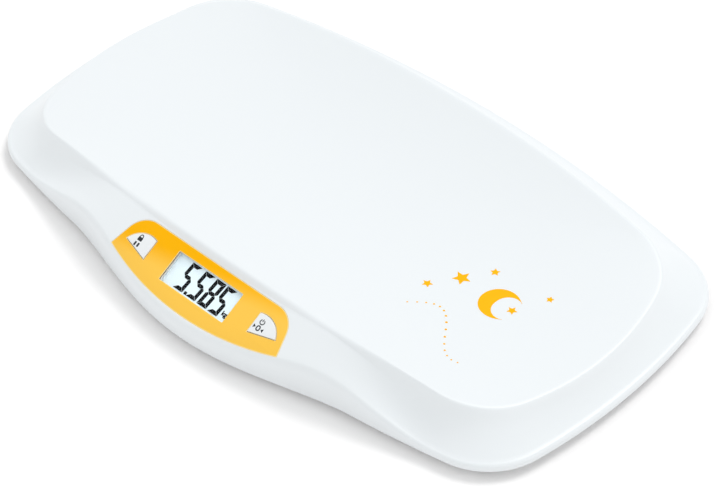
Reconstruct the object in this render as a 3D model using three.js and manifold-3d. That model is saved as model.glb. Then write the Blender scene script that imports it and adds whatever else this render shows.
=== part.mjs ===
// Digital baby weighing scale: a dished tray moulded in one with its rim and console,
// on a base with four load cell feet.
// Millimetres, +Z up. X runs along the scale and -Y is the side with the console.
// The origin lies on the floor, under the middle of the scale's outline.

import * as THREE from "three";
import { mergeVertices } from "three/addons/utils/BufferGeometryUtils.js";
import Module from "manifold-3d";

const wasm = await Module();
wasm.setup();

// Clearances that every piece shares
const seatGap = 0.3;
const slideGap = 0.4;
const fineGap = 0.05;
const cutOverrun = 5;

// Outline of the rim, seen from above
const scaleLength = 555;
const rimWidth = 319;
const rimEndRadius = 500;
const rimSideRadius = 1135;
const rimCornerRadius = 56.5;
const bulgeHalfLength = 143;
const bulgeDepth = 19.7;
const bulgeShapeShare = 0.78;
const backSwell = 4.7;

// Crest round the tray
const endFlange = 19.5;
const sideFlange = 32.7;
const crestEndRadius = 237;
const crestSideRadius = 1565;
const crestCornerRadius = 60;
const crestForward = 4.6;
const crestArchShare = 2.46;
const crestInset = 2.5;
const trayFloorHeight = 31;
const trayDepth = 22;
const trayEndRise = 2.5;

// Section of the top shell from the crest out to the lip
const shellWall = 2.5;
const wallShiftShare = 0.87;
const crestRun = 3;
const wallRun = 5;
const flangeSlope = THREE.MathUtils.degToRad(26.5);
const rollRun = 3.5;
const rollDrop = 3.5;
const lipLift = 2;
const lipFace = 2.5;
const rollShares = [0.55, 0.45];
const skinTrayShares = [0.3, 0.6, 0.85];
const hollowTrayShares = [0.3, 0.7];
const skinSteps = [4, 4, 3];
const hollowSteps = [4, 4, 2];

// Console: an inclined flat in the front of the rim
const consoleTilt = THREE.MathUtils.degToRad(29.3);
const consoleFront = 26.95;
const consoleDrop = 15.8;
const consoleFlatHalf = 91;
const consoleFadeHalf = 205;
const consoleWallRun = 5.1;
const consoleWallShares = [0.55, 0.7];
const consoleWallRise = 1.8;
const consoleRollRun = 4;
const consoleRollDrop = 10;
const seatThickness = 4;
const seatMargin = 1.5;

// Yellow plate, let into the console
const plateThickness = 1.2;
const plateHalf = 86;
const plateTipDrop = 10.7;
const plateFront = 25.8;
const plateBack = 20.3;
const plateCornerRadius = 19;
const plateSideLean = THREE.MathUtils.degToRad(15);

// Display
const windowLength = 65.5;
const windowWidth = 25.3;
const windowCornerRadius = 0.6;
const lensThickness = 1;
const lensMargin = 2.2;
const glassThickness = 2.8;
const glassMargin = 1.4;
const frameWall = 2.4;
const frameShelf = 1.4;
const zebraWidth = 2.4;
const zebraMargin = 3.4;

// Keys on both sides of the display
const keyInner = 54.2;
const keyLow = 7.35;
const keyLowerRise = THREE.MathUtils.degToRad(14.75);
const keyArcCentre = 60;
const keyArcDrop = 8.6;
const keyArcRadius = 18.4;
const keyProud = 0.7;
const keyTravel = 0.6;
const keyFlange = 1.2;
const keyFlangeThickness = 1.2;
const keyStemRadius = 2.2;
const keyStemLength = 1;
const keySwitchOut = 64;
const switchSide = 6;
const switchHeight = 3;
const plungerRadius = 1.7;
const plungerHeight = 1.2;

// Circuit board under the console
const boardThickness = 1.6;
const boardLength = 158;
const boardFrontRoom = 9.95;
const boardBossRadius = 2.8;
const boardScrewEdge = 7.5;
const boardScrewRadius = 1;
const boardScrewHeadRadius = 2.2;
const boardScrewHeadHeight = 1.5;
const boardScrewLength = 6.4;
const chipRadius = 6;
const chipHeight = 1.4;
const chipEnd = 21;

// Base shell
const baseHeight = 5;
const baseWall = 2.2;
const baseInset = 0.6;
const baseEdgeChamfer = 3;
const baseRimLift = 2.6;

// Feet and load cells
const footEnd = 75.5;
const footSide = 44.3;
const padRadius = 12.5;
const padThickness = 2;
const footRadius = 14.5;
const footSideGap = 0.6;
const footFlange = 1.8;
const footFlangeThickness = 1.2;
const footTravel = 0.25;
const pressRadius = 4;
const cellMargin = 1.5;
const cellThickness = 2;
const cellLift = 3.8;
const cellCornerRadius = 3;
const cellSlot = 1.6;
const cellFrame = 4.5;
const cellTongueShare = 0.62;
const pocketGap = 1;
const pocketWall = 2;
const clampThickness = 1.8;
const clampOpeningRadius = 9.5;
const clampLegWidth = 10;
const clampLegThickness = 1.6;
const clampNose = 1.4;
const clampNoseHeight = 1.6;
const clampLegLength = 5.4;

// Batteries and their bay
const batteryCount = 3;
const batteryRadius = 5.25;
const batteryLength = 44.5;
const batteryNubRadius = 1.9;
const batteryNubHeight = 0.8;
const batteryGap = 0.9;
const bayUp = 34;
const bayWall = 1.8;
const contactThickness = 0.5;
const contactHalfWidth = 4.2;
const contactHalfHeight = 4.4;
const springLength = 4;
const springRadius = 2.8;
const springWire = 0.7;
const springTurns = 2.5;
const springStepsPerTurn = 8;
const tabWidth = 3;
const tabHeight = 1.6;
const tabReach = 4.4;
const doorThickness = 1.6;
const doorBarrelRadius = 1.3;
const doorPinRadius = 0.8;
const doorPinLength = 2.4;
const doorGripWidth = 16;
const doorGripDepth = 0.8;
const doorGripRadius = 9;

// Screws that hold the base to the top shell
const screwEnd = 34.5;
const screwSide = 28;
const screwEndStep = 39;
const screwSideStep = 90;
const screwRadius = 1.5;
const screwHeadRadius = 3.3;
const screwHeadHeight = 2.2;
const screwHeadShare = 0.7;
const screwLength = 14;
const screwRecessRadius = 1.4;
const screwRecessDepth = 1.1;
const screwSeatLift = 2.1;
const screwSeatThickness = 2.2;
const baseBossRadius = 5.8;
const shellBossRadius = 4.2;

// Leads inside the housing. Each route share is how far along the lead's straight way
// a point lies, and how far in front of it, as a share of the lead's turn.
const leadRadius = 1;
const leadTurn = 12;
const leadSpread = 6;
const frontRouteShares = [[0.12, -0.5], [0.45, 0], [0.8, 0.5]];
const backRouteShares = [[0.08, -0.25], [0.4, 0], [0.75, 0.5]];
const batteryRouteShares = [[0.15, 0], [0.55, 0]];

// Colours
const colours = {
  shell: 0xf3f7f9,
  plate: 0xffb81a,
  lens: 0xdfeef2,
  glass: 0xcfdedd,
  frame: 0xe8e8e6,
  rubber: 0x3b3d40,
  board: 0x2f7a4b,
  resin: 0x16171a,
  key: 0xf4f6f8,
  dark: 0x26282b,
  steel: 0xb9bec4,
  brass: 0xc9a24a,
  pad: 0xa9adb2,
  battery: 0x5a6a7a,
  red: 0xb3322b,
  black: 0x1d1d20,
  grey: 0x8b9096,
};

// Solids and meshes

function solid(geometry) {
  const bare = geometry.index ? geometry.toNonIndexed() : geometry.clone();
  bare.deleteAttribute("normal");
  bare.deleteAttribute("uv");
  const merged = mergeVertices(bare);
  const corners = merged.index.array;
  const triVerts = [];
  for (let i = 0; i < corners.length; i += 3) {
    const [a, b, c] = corners.slice(i, i + 3);
    if (a !== b && b !== c && c !== a) triVerts.push(a, b, c);
  }
  const vertProperties = merged.attributes.position.array;
  const data = { numProp: 3, vertProperties, triVerts: new Uint32Array(triVerts) };
  return new wasm.Manifold(new wasm.Mesh(data));
}

function geometryOf(body) {
  const data = body.getMesh();
  const places = new Float32Array(data.numVert * 3);
  for (let i = 0; i < data.numVert; i++) {
    const start = i * data.numProp;
    places.set(data.vertProperties.subarray(start, start + 3), i * 3);
  }
  const geometry = new THREE.BufferGeometry();
  geometry.setAttribute("position", new THREE.BufferAttribute(places, 3));
  geometry.setIndex(new THREE.BufferAttribute(data.triVerts, 1));
  return geometry;
}

function joined(first, ...rest) {
  return rest.reduce((sum, next) => sum.add(next), first);
}

function cut(body, ...tools) {
  return tools.reduce((left, tool) => left.subtract(tool), body);
}

function box(lowX, highX, lowY, highY, lowZ, highZ) {
  const geometry = new THREE.BoxGeometry(highX - lowX, highY - lowY, highZ - lowZ);
  geometry.translate((lowX + highX) / 2, (lowY + highY) / 2, (lowZ + highZ) / 2);
  return solid(geometry);
}

function post(radius, lowZ, highZ, x = 0, y = 0, sides = 16) {
  const geometry = new THREE.CylinderGeometry(radius, radius, highZ - lowZ, sides);
  geometry.rotateX(Math.PI / 2);
  geometry.translate(x, y, (lowZ + highZ) / 2);
  return solid(geometry);
}

function bar(radius, lowX, highX, y, z, sides = 16) {
  const geometry = new THREE.CylinderGeometry(radius, radius, highX - lowX, sides);
  geometry.rotateZ(Math.PI / 2);
  geometry.translate((lowX + highX) / 2, y, z);
  return solid(geometry);
}

function turned(profile, sides = 16) {
  const points = profile.map(([radius, z]) => new THREE.Vector2(radius, z));
  const geometry = new THREE.LatheGeometry(points, sides);
  geometry.rotateX(Math.PI / 2);
  return solid(geometry);
}

function prism(shape, lowZ, highZ, curveSegments = 8) {
  const settings = { depth: highZ - lowZ, bevelEnabled: false, curveSegments };
  const geometry = new THREE.ExtrudeGeometry(shape, settings);
  geometry.translate(0, 0, lowZ);
  return solid(geometry);
}

function roundedRectangle(length, width, radius) {
  const shape = new THREE.Shape();
  const x = length / 2 - radius;
  const y = width / 2 - radius;
  shape.absarc(x, y, radius, 0, Math.PI / 2);
  shape.absarc(-x, y, radius, Math.PI / 2, Math.PI);
  shape.absarc(-x, -y, radius, Math.PI, Math.PI * 1.5);
  shape.absarc(x, -y, radius, Math.PI * 1.5, Math.PI * 2);
  shape.closePath();
  return shape;
}

function tube(curve, radius, steps, sides) {
  const section = new THREE.Shape();
  for (let i = 0; i < sides; i++) {
    const turn = (i / sides) * Math.PI * 2;
    const x = radius * Math.cos(turn);
    const y = radius * Math.sin(turn);
    if (i === 0) section.moveTo(x, y);
    else section.lineTo(x, y);
  }
  section.closePath();
  const settings = { steps, extrudePath: curve, bevelEnabled: false };
  return solid(new THREE.ExtrudeGeometry(section, settings));
}

const object = new THREE.Group();
object.name = "digital_baby_scale";

function piece(name, body, colour, roughness, metalness = 0, parent = object) {
  const material = new THREE.MeshStandardMaterial({
    color: colour,
    roughness,
    metalness,
  });
  const mesh = new THREE.Mesh(geometryOf(body), material);
  mesh.name = name;
  parent.add(mesh);
  return mesh;
}

// Outlines of end, corner and side arcs that run into each other

function arcOutline(length, width, endRadius, sideRadius, cornerRadius, centreY) {
  const endCentre = new THREE.Vector2(length / 2 - endRadius, 0);
  const sideCentre = new THREE.Vector2(0, width / 2 - sideRadius);
  const along = sideCentre.clone().sub(endCentre);
  const reach = along.length();
  along.divideScalar(reach);
  const endReach = endRadius - cornerRadius;
  const sideReach = sideRadius - cornerRadius;
  const foot = (endReach ** 2 - sideReach ** 2 + reach ** 2) / (2 * reach);
  const rise = Math.sqrt(endReach ** 2 - foot ** 2);
  const across = new THREE.Vector2(-along.y, along.x);
  const cornerCentre = endCentre.clone().addScaledVector(along, foot);
  cornerCentre.addScaledVector(across, rise);
  const endTurn = cornerCentre.clone().sub(endCentre).angle();
  const sideTurn = cornerCentre.clone().sub(sideCentre).angle();
  const arcs = [
    { centre: endCentre, radius: endRadius, from: 0, to: endTurn },
    { centre: cornerCentre, radius: cornerRadius, from: endTurn, to: sideTurn },
    { centre: sideCentre, radius: sideRadius, from: sideTurn, to: Math.PI / 2 },
  ];
  return function at(station, inset) {
    const arc = arcs[station.arc];
    const turn = THREE.MathUtils.lerp(arc.from, arc.to, station.share);
    const radius = arc.radius - inset;
    const x = arc.centre.x + radius * Math.cos(turn);
    const y = arc.centre.y + radius * Math.sin(turn);
    return new THREE.Vector2(station.signX * x, station.signY * y + centreY);
  };
}

// Stations run once round the outline, with more of them along the console's side.
function stationsRound(endSteps, cornerSteps, backSteps, frontSteps) {
  const stations = [];
  const quarters = [
    [1, 1, backSteps],
    [-1, 1, backSteps],
    [-1, -1, frontSteps],
    [1, -1, frontSteps],
  ];
  quarters.forEach(([signX, signY, sideSteps], index) => {
    const quarter = [];
    [endSteps, cornerSteps, sideSteps].forEach((steps, arc) => {
      for (let i = 0; i < steps; i++) {
        quarter.push({ arc, share: i / steps, signX, signY });
      }
    });
    const last = { arc: 2, share: 1, signX, signY };
    if (index % 2 === 0) stations.push(...quarter);
    else stations.push(last, ...quarter.slice(1).reverse());
  });
  return stations;
}

// How far the rim's long side stands from its middle line, without the bulge or the swell
function sideEdgeAt(x) {
  return rimWidth / 2 - rimSideRadius + Math.sqrt(rimSideRadius ** 2 - x ** 2);
}

const rimCentre = bulgeDepth / 2;
const crestCentre = rimCentre - crestForward;
const crestLength = scaleLength - 2 * endFlange;
const crestWidth = rimWidth - 2 * sideFlange;
const crestHeight = trayFloorHeight + trayDepth;
const crestEndHeight = trayFloorHeight + trayEndRise;
const consoleBack = rimWidth / 2 + bulgeDepth - rimCentre - consoleFront;
const consoleHeight = crestHeight - consoleDrop;
const floorTop = baseHeight + baseWall;
const lipHeight = baseHeight + lipLift;
const rimHeight = lipHeight + lipFace + rollDrop;
const baseRimHeight = floorTop + baseRimLift;
const cellHeight = floorTop + cellLift;
const screwSeatHeight = floorTop + screwSeatLift;
const footOut = scaleLength / 2 - footEnd;
const footUp = sideEdgeAt(footOut) - footSide;
const rimOutline = arcOutline(
  scaleLength, rimWidth, rimEndRadius, rimSideRadius, rimCornerRadius, rimCentre,
);
const crestOutline = arcOutline(
  crestLength, crestWidth, crestEndRadius, crestSideRadius, crestCornerRadius, crestCentre,
);
const stations = stationsRound(3, 5, 5, 12);

function bulgeAt(x) {
  const share = Math.min(1, Math.abs(x) / bulgeHalfLength);
  return bulgeDepth * (0.5 + 0.5 * Math.cos(Math.PI * share)) ** bulgeShapeShare;
}

// The rim's back edge swells out a little towards its middle.
function swellAt(x) {
  return backSwell * (1 - (x / (scaleLength / 2)) ** 2);
}

function rimPoint(station, inset) {
  const point = rimOutline(station, inset);
  if (station.signY < 0) point.y -= bulgeAt(point.x);
  else point.y += swellAt(point.x);
  return point;
}

function crestPoint(station, inset) {
  return crestOutline(station, crestInset + inset);
}

function crestTop(x) {
  const share = Math.abs(x) / (crestLength / 2);
  return crestHeight - (crestHeight - crestEndHeight) * share ** crestArchShare;
}

function consolePlane(y, level) {
  const onTop = consoleHeight + (y + consoleBack) * Math.tan(consoleTilt);
  return onTop - level / Math.cos(consoleTilt);
}

function consoleShareAt(x) {
  return THREE.MathUtils.smoothstep(-Math.abs(x), -consoleFadeHalf, -consoleFlatHalf);
}

// Dished tray: a share of 0 is its middle and 1 its crest.
function trayBowl(x, y) {
  const alongShare = x / (crestLength / 2);
  const acrossShare = (y - crestCentre) / (crestWidth / 2);
  const endRise = trayEndRise * alongShare ** 2;
  const sideRise = trayDepth * acrossShare ** 2;
  return trayFloorHeight + endRise + sideRise;
}

function trayPoint(station, share, level) {
  const crest = crestPoint(station, level * wallShiftShare);
  const x = crest.x * share;
  const y = crestCentre + (crest.y - crestCentre) * share;
  const miss = crestTop(crest.x) - trayBowl(crest.x, crest.y);
  return new THREE.Vector3(x, y, trayBowl(x, y) + miss * share ** 4 - level);
}

// Section from the crest to the lip at one station. A level above 0 is that far inside.
function rimSection(station, level, wallSteps, rampSteps, rollSteps) {
  const crest = crestPoint(station, level * wallShiftShare);
  const edge = rimPoint(station, level);
  const reach = crest.distanceTo(edge);
  const crestZ = crestTop(crest.x) - level;
  const rimZ = rimHeight - level;
  const middleX = (crest.x + edge.x) / 2;
  const consoleShare = station.signY < 0 ? consoleShareAt(middleX) : 0;
  const planeAt = (run) => {
    return consolePlane(THREE.MathUtils.lerp(crest.y, edge.y, run / reach), level);
  };
  const curve = (...numbers) => {
    const [a, b, c, d] = numbers.map(([run, z]) => new THREE.Vector2(run, z));
    return new THREE.CubicBezierCurve(a, b, c, d);
  };

  const flangeEnd = reach - rollRun;
  const wallFootZ = rimZ + (flangeEnd - wallRun) * Math.tan(flangeSlope);
  const flange = curve(
    [0, crestZ],
    [crestRun, crestZ],
    [wallRun, wallFootZ],
    [flangeEnd, rimZ],
  );
  const flangeRoll = curve(
    [flangeEnd, rimZ],
    [flangeEnd + rollRun * rollShares[0], rimZ],
    [reach, rimHeight - rollDrop * rollShares[1]],
    [reach, rimHeight - rollDrop],
  );

  const foot = consoleWallRun;
  const consoleWall = curve(
    [0, crestZ],
    [foot * consoleWallShares[0], crestZ],
    [foot * consoleWallShares[1], planeAt(foot) + consoleWallRise],
    [foot, planeAt(foot)],
  );
  const rampEnd = reach - consoleRollRun;
  const rampEndZ = planeAt(rampEnd);
  const rollEndZ = rampEndZ + level / Math.cos(consoleTilt) - consoleRollDrop;
  const slopeRun = consoleRollRun * rollShares[0];
  const consoleRoll = curve(
    [rampEnd, rampEndZ],
    [rampEnd + slopeRun, rampEndZ - slopeRun * Math.tan(consoleTilt)],
    [reach, THREE.MathUtils.lerp(rollEndZ, rampEndZ, rollShares[1])],
    [reach, rollEndZ],
  );

  const pairs = [];
  for (let i = 0; i <= wallSteps; i++) {
    const share = i / wallSteps;
    pairs.push([flange.getPoint(share / 2), consoleWall.getPoint(share)]);
  }
  for (let i = 1; i <= rampSteps; i++) {
    const share = i / rampSteps;
    const run = THREE.MathUtils.lerp(foot, rampEnd, share);
    const onRamp = new THREE.Vector2(run, planeAt(run));
    pairs.push([flange.getPoint((1 + share) / 2), onRamp]);
  }
  for (let i = 1; i <= rollSteps; i++) {
    const share = i / rollSteps;
    pairs.push([flangeRoll.getPoint(share), consoleRoll.getPoint(share)]);
  }
  return pairs.map(([plain, inclined]) => {
    const mixed = plain.lerp(inclined, consoleShare);
    const place = crest.clone().lerp(edge, mixed.x / reach);
    return new THREE.Vector3(place.x, place.y, mixed.y);
  });
}

// A closed solid from rings that run outwards from a top point and end round a bottom point.
function stacked(top, rings, bottom) {
  const count = rings[0].length;
  const places = [top, ...rings.flat(), bottom].flatMap((point) => point.toArray());
  const corners = [];
  const last = 1 + rings.length * count;
  for (let i = 0; i < count; i++) {
    const next = (i + 1) % count;
    corners.push(0, 1 + i, 1 + next);
    for (let r = 0; r + 1 < rings.length; r++) {
      const inner = 1 + r * count;
      const outer = inner + count;
      corners.push(inner + i, outer + i, outer + next);
      corners.push(inner + i, outer + next, inner + next);
    }
    corners.push(last, last - count + next, last - count + i);
  }
  const geometry = new THREE.BufferGeometry();
  geometry.setAttribute("position", new THREE.Float32BufferAttribute(places, 3));
  geometry.setIndex(corners);
  return solid(geometry);
}

function ringAt(pointAt) {
  return stations.map((station) => {
    const point = pointAt(station);
    return new THREE.Vector3(point.x, point.y, point.z);
  });
}

function level(point, z) {
  return { x: point.x, y: point.y, z };
}

// The shell's skin, filled down to a level bottom
function filledSkin(depth, bottomZ, trayShares, steps) {
  const rings = trayShares.map((share) => {
    return ringAt((station) => trayPoint(station, share, depth));
  });
  const sections = stations.map((station) => rimSection(station, depth, ...steps));
  for (let i = 0; i < sections[0].length; i++) {
    rings.push(sections.map((section) => section[i]));
  }
  rings.push(ringAt((station) => level(rimPoint(station, depth), bottomZ)));
  const top = new THREE.Vector3(0, crestCentre, trayFloorHeight - depth);
  const bottom = new THREE.Vector3(0, crestCentre, bottomZ);
  return stacked(top, rings, bottom);
}

// Console frame: X along the scale, Y up the slope, Z out of the surface

const consoleGroup = new THREE.Group();
consoleGroup.position.set(0, -consoleBack, consoleHeight);
consoleGroup.rotation.x = consoleTilt;
consoleGroup.updateMatrixWorld(true);
object.add(consoleGroup);

function onConsole(body) {
  const geometry = geometryOf(body);
  geometry.applyMatrix4(consoleGroup.matrixWorld);
  return solid(geometry);
}

function consolePlace(out, up, height) {
  return new THREE.Vector3(out, up, height).applyMatrix4(consoleGroup.matrixWorld);
}

// Where a line leaves a circle, on the side that it points to
function lineMeetsCircle(start, direction, centre, radius) {
  const toStart = start.clone().sub(centre);
  const half = toStart.dot(direction);
  const rest = toStart.lengthSq() - radius ** 2;
  return start.clone().addScaledVector(direction, -half + Math.sqrt(half ** 2 - rest));
}

function angleFrom(centre, point) {
  return Math.atan2(point.y - centre.y, point.x - centre.x);
}

function plateShape(grow) {
  const sagitta = plateFront - plateTipDrop;
  const bowRadius = (plateHalf ** 2 + sagitta ** 2) / (2 * sagitta);
  const bowCentre = new THREE.Vector2(0, bowRadius - plateFront);
  const bow = bowRadius + grow;
  const lean = new THREE.Vector2(-Math.sin(plateSideLean), Math.cos(plateSideLean));
  const outward = new THREE.Vector2(lean.y, -lean.x);
  const side = new THREE.Vector2(plateHalf, -plateTipDrop).addScaledVector(outward, grow);
  const tip = lineMeetsCircle(side, lean.clone().negate(), bowCentre, bow);
  const corner = plateCornerRadius + grow;
  const cornerUp = plateBack - plateCornerRadius;
  const along = (cornerUp + plateTipDrop) / lean.y;
  const cornerCentre = new THREE.Vector2(plateHalf, -plateTipDrop);
  cornerCentre.addScaledVector(lean, along);
  cornerCentre.x -= plateCornerRadius / lean.y;
  const sideTurn = Math.atan2(outward.y, outward.x);
  const tipTurn = angleFrom(bowCentre, tip);
  const shape = new THREE.Shape();
  shape.absarc(0, bowCentre.y, bow, -Math.PI - tipTurn, tipTurn);
  shape.absarc(cornerCentre.x, cornerCentre.y, corner, sideTurn, Math.PI / 2);
  shape.absarc(-cornerCentre.x, cornerCentre.y, corner, Math.PI / 2, Math.PI - sideTurn);
  shape.closePath();
  return shape;
}

function keyShape(side, grow) {
  const centre = new THREE.Vector2(keyArcCentre, -keyArcDrop);
  const radius = keyArcRadius + grow;
  const inner = keyInner - grow;
  const rise = new THREE.Vector2(Math.cos(keyLowerRise), Math.sin(keyLowerRise));
  const start = new THREE.Vector2(keyInner, -keyLow);
  start.addScaledVector(new THREE.Vector2(rise.y, -rise.x), grow);
  const tip = lineMeetsCircle(start, rise, centre, radius);
  const low = start.y - (start.x - inner) * Math.tan(keyLowerRise);
  const top = centre.y + Math.sqrt(radius ** 2 - (inner - centre.x) ** 2);
  const tipTurn = angleFrom(centre, tip);
  const topTurn = angleFrom(centre, new THREE.Vector2(inner, top));
  const shape = new THREE.Shape();
  shape.moveTo(side * inner, low);
  shape.lineTo(side * tip.x, tip.y);
  if (side > 0) {
    shape.absarc(centre.x, centre.y, radius, tipTurn, topTurn);
  } else {
    shape.absarc(-centre.x, centre.y, radius, Math.PI - tipTurn, Math.PI - topTurn, true);
  }
  shape.closePath();
  return shape;
}

// Depths under the console's surface
const pressDepth = seatThickness + seatGap + keyFlangeThickness + keyStemLength + keyTravel;
const boardDepth = pressDepth + plungerHeight + switchHeight + seatGap;
const boardWidth = 2 * (consoleFront - boardFrontRoom);
const recessDepth = plateThickness + seatGap;
const rebateDepth = recessDepth + lensThickness + seatGap;
const glassDepth = seatThickness + seatGap;
const boardSeatDepth = boardDepth - seatGap;
const shelfDepth = glassDepth + glassThickness + seatGap;
const switchTopDepth = boardSeatDepth - switchHeight - plungerHeight;

const lensLength = windowLength + 2 * lensMargin;
const lensWidth = windowWidth + 2 * lensMargin;
const glassLength = windowLength + 2 * glassMargin;
const glassWidth = windowWidth + 2 * glassMargin;

// Top shell

const bossGap = screwSeatHeight + screwSeatThickness + seatGap;
const screwEndOut = scaleLength / 2 - screwEnd;
const screwEndUp = footUp - screwEndStep;
const screwSideOut = footOut - screwSideStep;
const screwSideUp = sideEdgeAt(screwSideOut) - screwSide;
const screwPlaces = [1, -1].flatMap((signX) => [1, -1].flatMap((signY) => [
  [signX * screwEndOut, rimCentre + signY * screwEndUp],
  [signX * screwSideOut, rimCentre + signY * screwSideUp],
]));
const frameInner = [glassLength / 2 + seatGap, glassWidth / 2 + seatGap];
const frameOuter = frameInner.map((half) => half + frameWall);
const boardScrewOut = (frameOuter[0] + keyInner - keyFlange) / 2;
const boardScrewUp = boardWidth / 2 - boardScrewEdge;
const boardScrewPlaces = [1, -1].flatMap((signX) => [1, -1].map((signY) => {
  return [signX * boardScrewOut, signY * boardScrewUp];
}));

const skin = filledSkin(0, lipHeight, skinTrayShares, skinSteps);
const hollow = filledSkin(
  shellWall, lipHeight - cutOverrun, hollowTrayShares, hollowSteps,
);

const seat = onConsole(prism(plateShape(seatMargin), -seatThickness, seatThickness));
const boardBosses = boardScrewPlaces.map(([out, up]) => {
  return onConsole(post(boardBossRadius, -boardSeatDepth, 0, out, up, 12));
});
const shellBosses = screwPlaces.map(([x, y]) => {
  return post(shellBossRadius, bossGap, crestHeight, x, y, 12);
});
const insideSkin = joined(seat, ...boardBosses, ...shellBosses).intersect(skin);

const recess = prism(plateShape(seatGap), -recessDepth, cutOverrun);
const rebateShape = roundedRectangle(
  lensLength + 2 * seatGap, lensWidth + 2 * seatGap, windowCornerRadius + seatGap,
);
const rebate = prism(rebateShape, -rebateDepth, 0, 2);
const openingShape = roundedRectangle(windowLength, windowWidth, windowCornerRadius);
const windowCut = prism(openingShape, -boardDepth, cutOverrun, 2);
const keyCuts = [1, -1].map((side) => {
  return prism(keyShape(side, slideGap), -seatThickness - cutOverrun, cutOverrun, 6);
});
const boardPilots = boardScrewPlaces.map(([out, up]) => {
  const deep = boardDepth + boardThickness + seatGap - boardScrewLength - seatGap;
  return post(boardScrewRadius + seatGap, -boardDepth, -deep, out, up, 10);
});
const shellPilots = screwPlaces.map(([x, y]) => {
  const top = screwSeatHeight + screwLength;
  return post(screwRadius + seatGap, bossGap - cutOverrun, top, x, y, 8);
});
const consoleCuts = [recess, rebate, windowCut, ...keyCuts, ...boardPilots].map(onConsole);
const topShell = cut(skin.subtract(hollow).add(insideSkin), ...consoleCuts, ...shellPilots);
piece("top_shell", topShell, colours.shell, 0.25);

// Console plate, lens and display

const plate = cut(
  prism(plateShape(0), -plateThickness, 0),
  windowCut,
  ...keyCuts,
);
piece("console_plate", plate, colours.plate, 0.35, 0, consoleGroup);

const lensShape = roundedRectangle(lensLength, lensWidth, windowCornerRadius);
const lens = prism(lensShape, -recessDepth - lensThickness, -recessDepth, 2);
piece("display_window", lens, colours.lens, 0.05, 0, consoleGroup);

const glassShape = roundedRectangle(glassLength, glassWidth, windowCornerRadius);
const glass = prism(glassShape, -glassDepth - glassThickness, -glassDepth, 2);
piece("lcd_panel", glass, colours.glass, 0.15, 0, consoleGroup);

const frameWalls = box(
  -frameOuter[0], frameOuter[0], -frameOuter[1], frameOuter[1], -boardSeatDepth, -glassDepth,
);
const frameHollow = box(
  -frameInner[0], frameInner[0], -frameInner[1], frameInner[1],
  -boardSeatDepth - cutOverrun, -glassDepth + cutOverrun,
);
const shelfLow = -shelfDepth - frameShelf;
const frameShelves = [-1, 1].map((side) => {
  const outer = side * (frameInner[0] + frameWall / 2);
  const inner = side * (frameInner[0] - frameShelf);
  const [low, high] = [outer, inner].sort((a, b) => a - b);
  return box(low, high, -frameInner[1] - frameWall / 2, 0, shelfLow, -shelfDepth);
});
const lowShelf = box(
  -frameInner[0], frameInner[0],
  -frameInner[1] - frameWall / 2, -frameInner[1] + frameShelf, shelfLow, -shelfDepth,
);
const lcdFrame = joined(frameWalls.subtract(frameHollow), ...frameShelves, lowShelf);
piece("lcd_frame", lcdFrame, colours.frame, 0.5, 0, consoleGroup);

const zebraUp = glassWidth / 2 - zebraWidth;
const zebraHalf = glassLength / 2 - zebraMargin;
const zebra = box(
  -zebraHalf, zebraHalf, zebraUp, zebraUp + zebraWidth, -boardSeatDepth, -shelfDepth,
);
piece("zebra_strip", zebra, colours.rubber, 0.8, 0, consoleGroup);

// Board and what it carries

const boardLow = -boardDepth - boardThickness;
const boardHoles = boardScrewPlaces.map(([out, up]) => {
  return post(boardScrewRadius + seatGap, boardLow - cutOverrun, cutOverrun, out, up, 10);
});
const board = cut(
  box(-boardLength / 2, boardLength / 2, -boardWidth / 2, boardWidth / 2, boardLow, -boardDepth),
  ...boardHoles,
);
piece("main_board", board, colours.board, 0.5, 0, consoleGroup);

boardScrewPlaces.forEach(([out, up], index) => {
  const headTop = boardLow - seatGap;
  const profile = [
    [0, headTop - boardScrewHeadHeight],
    [boardScrewHeadRadius, headTop - boardScrewHeadHeight],
    [boardScrewHeadRadius, headTop],
    [boardScrewRadius, headTop],
    [boardScrewRadius, headTop + boardScrewLength],
    [0, headTop + boardScrewLength],
  ];
  const screw = piece(
    "board_screw_" + (index + 1), turned(profile, 8), colours.steel, 0.35, 0.9, consoleGroup,
  );
  screw.position.set(out, up, 0);
});

const chipTop = boardLow - seatGap;
const chip = turned([
  [0, chipTop - chipHeight],
  [chipRadius / 2, chipTop - chipHeight],
  [chipRadius, chipTop - chipHeight / 2],
  [chipRadius, chipTop],
  [0, chipTop],
]);
const chipMesh = piece("controller_chip", chip, colours.resin, 0.3, 0, consoleGroup);
chipMesh.position.x = boardLength / 2 - chipEnd;

// Keys: each slides into the console until its stem is down on the switch.
const stemEnd = -switchTopDepth + keyTravel + fineGap;
[["hold", -1], ["tare", 1]].forEach(([name, side]) => {
  const flangeTop = -seatThickness - seatGap;
  const flangeLow = flangeTop - keyFlangeThickness;
  const out = side * keySwitchOut;
  const key = joined(
    prism(keyShape(side, 0), flangeTop - keyFlangeThickness / 2, keyProud, 6),
    prism(keyShape(side, keyFlange), flangeLow, flangeTop, 6),
    post(keyStemRadius, stemEnd, flangeTop, out, 0, 12),
  );
  piece(name + "_key", key, colours.key, 0.4, 0, consoleGroup);
  const half = switchSide / 2;
  const switchTop = -boardSeatDepth + switchHeight;
  const body = joined(
    box(out - half, out + half, -half, half, -boardSeatDepth, switchTop),
    post(plungerRadius, switchTop - plungerHeight, -switchTopDepth, out, 0, 12),
  );
  piece(name + "_switch", body, colours.dark, 0.4, 0, consoleGroup);
});

// Base shell

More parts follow.
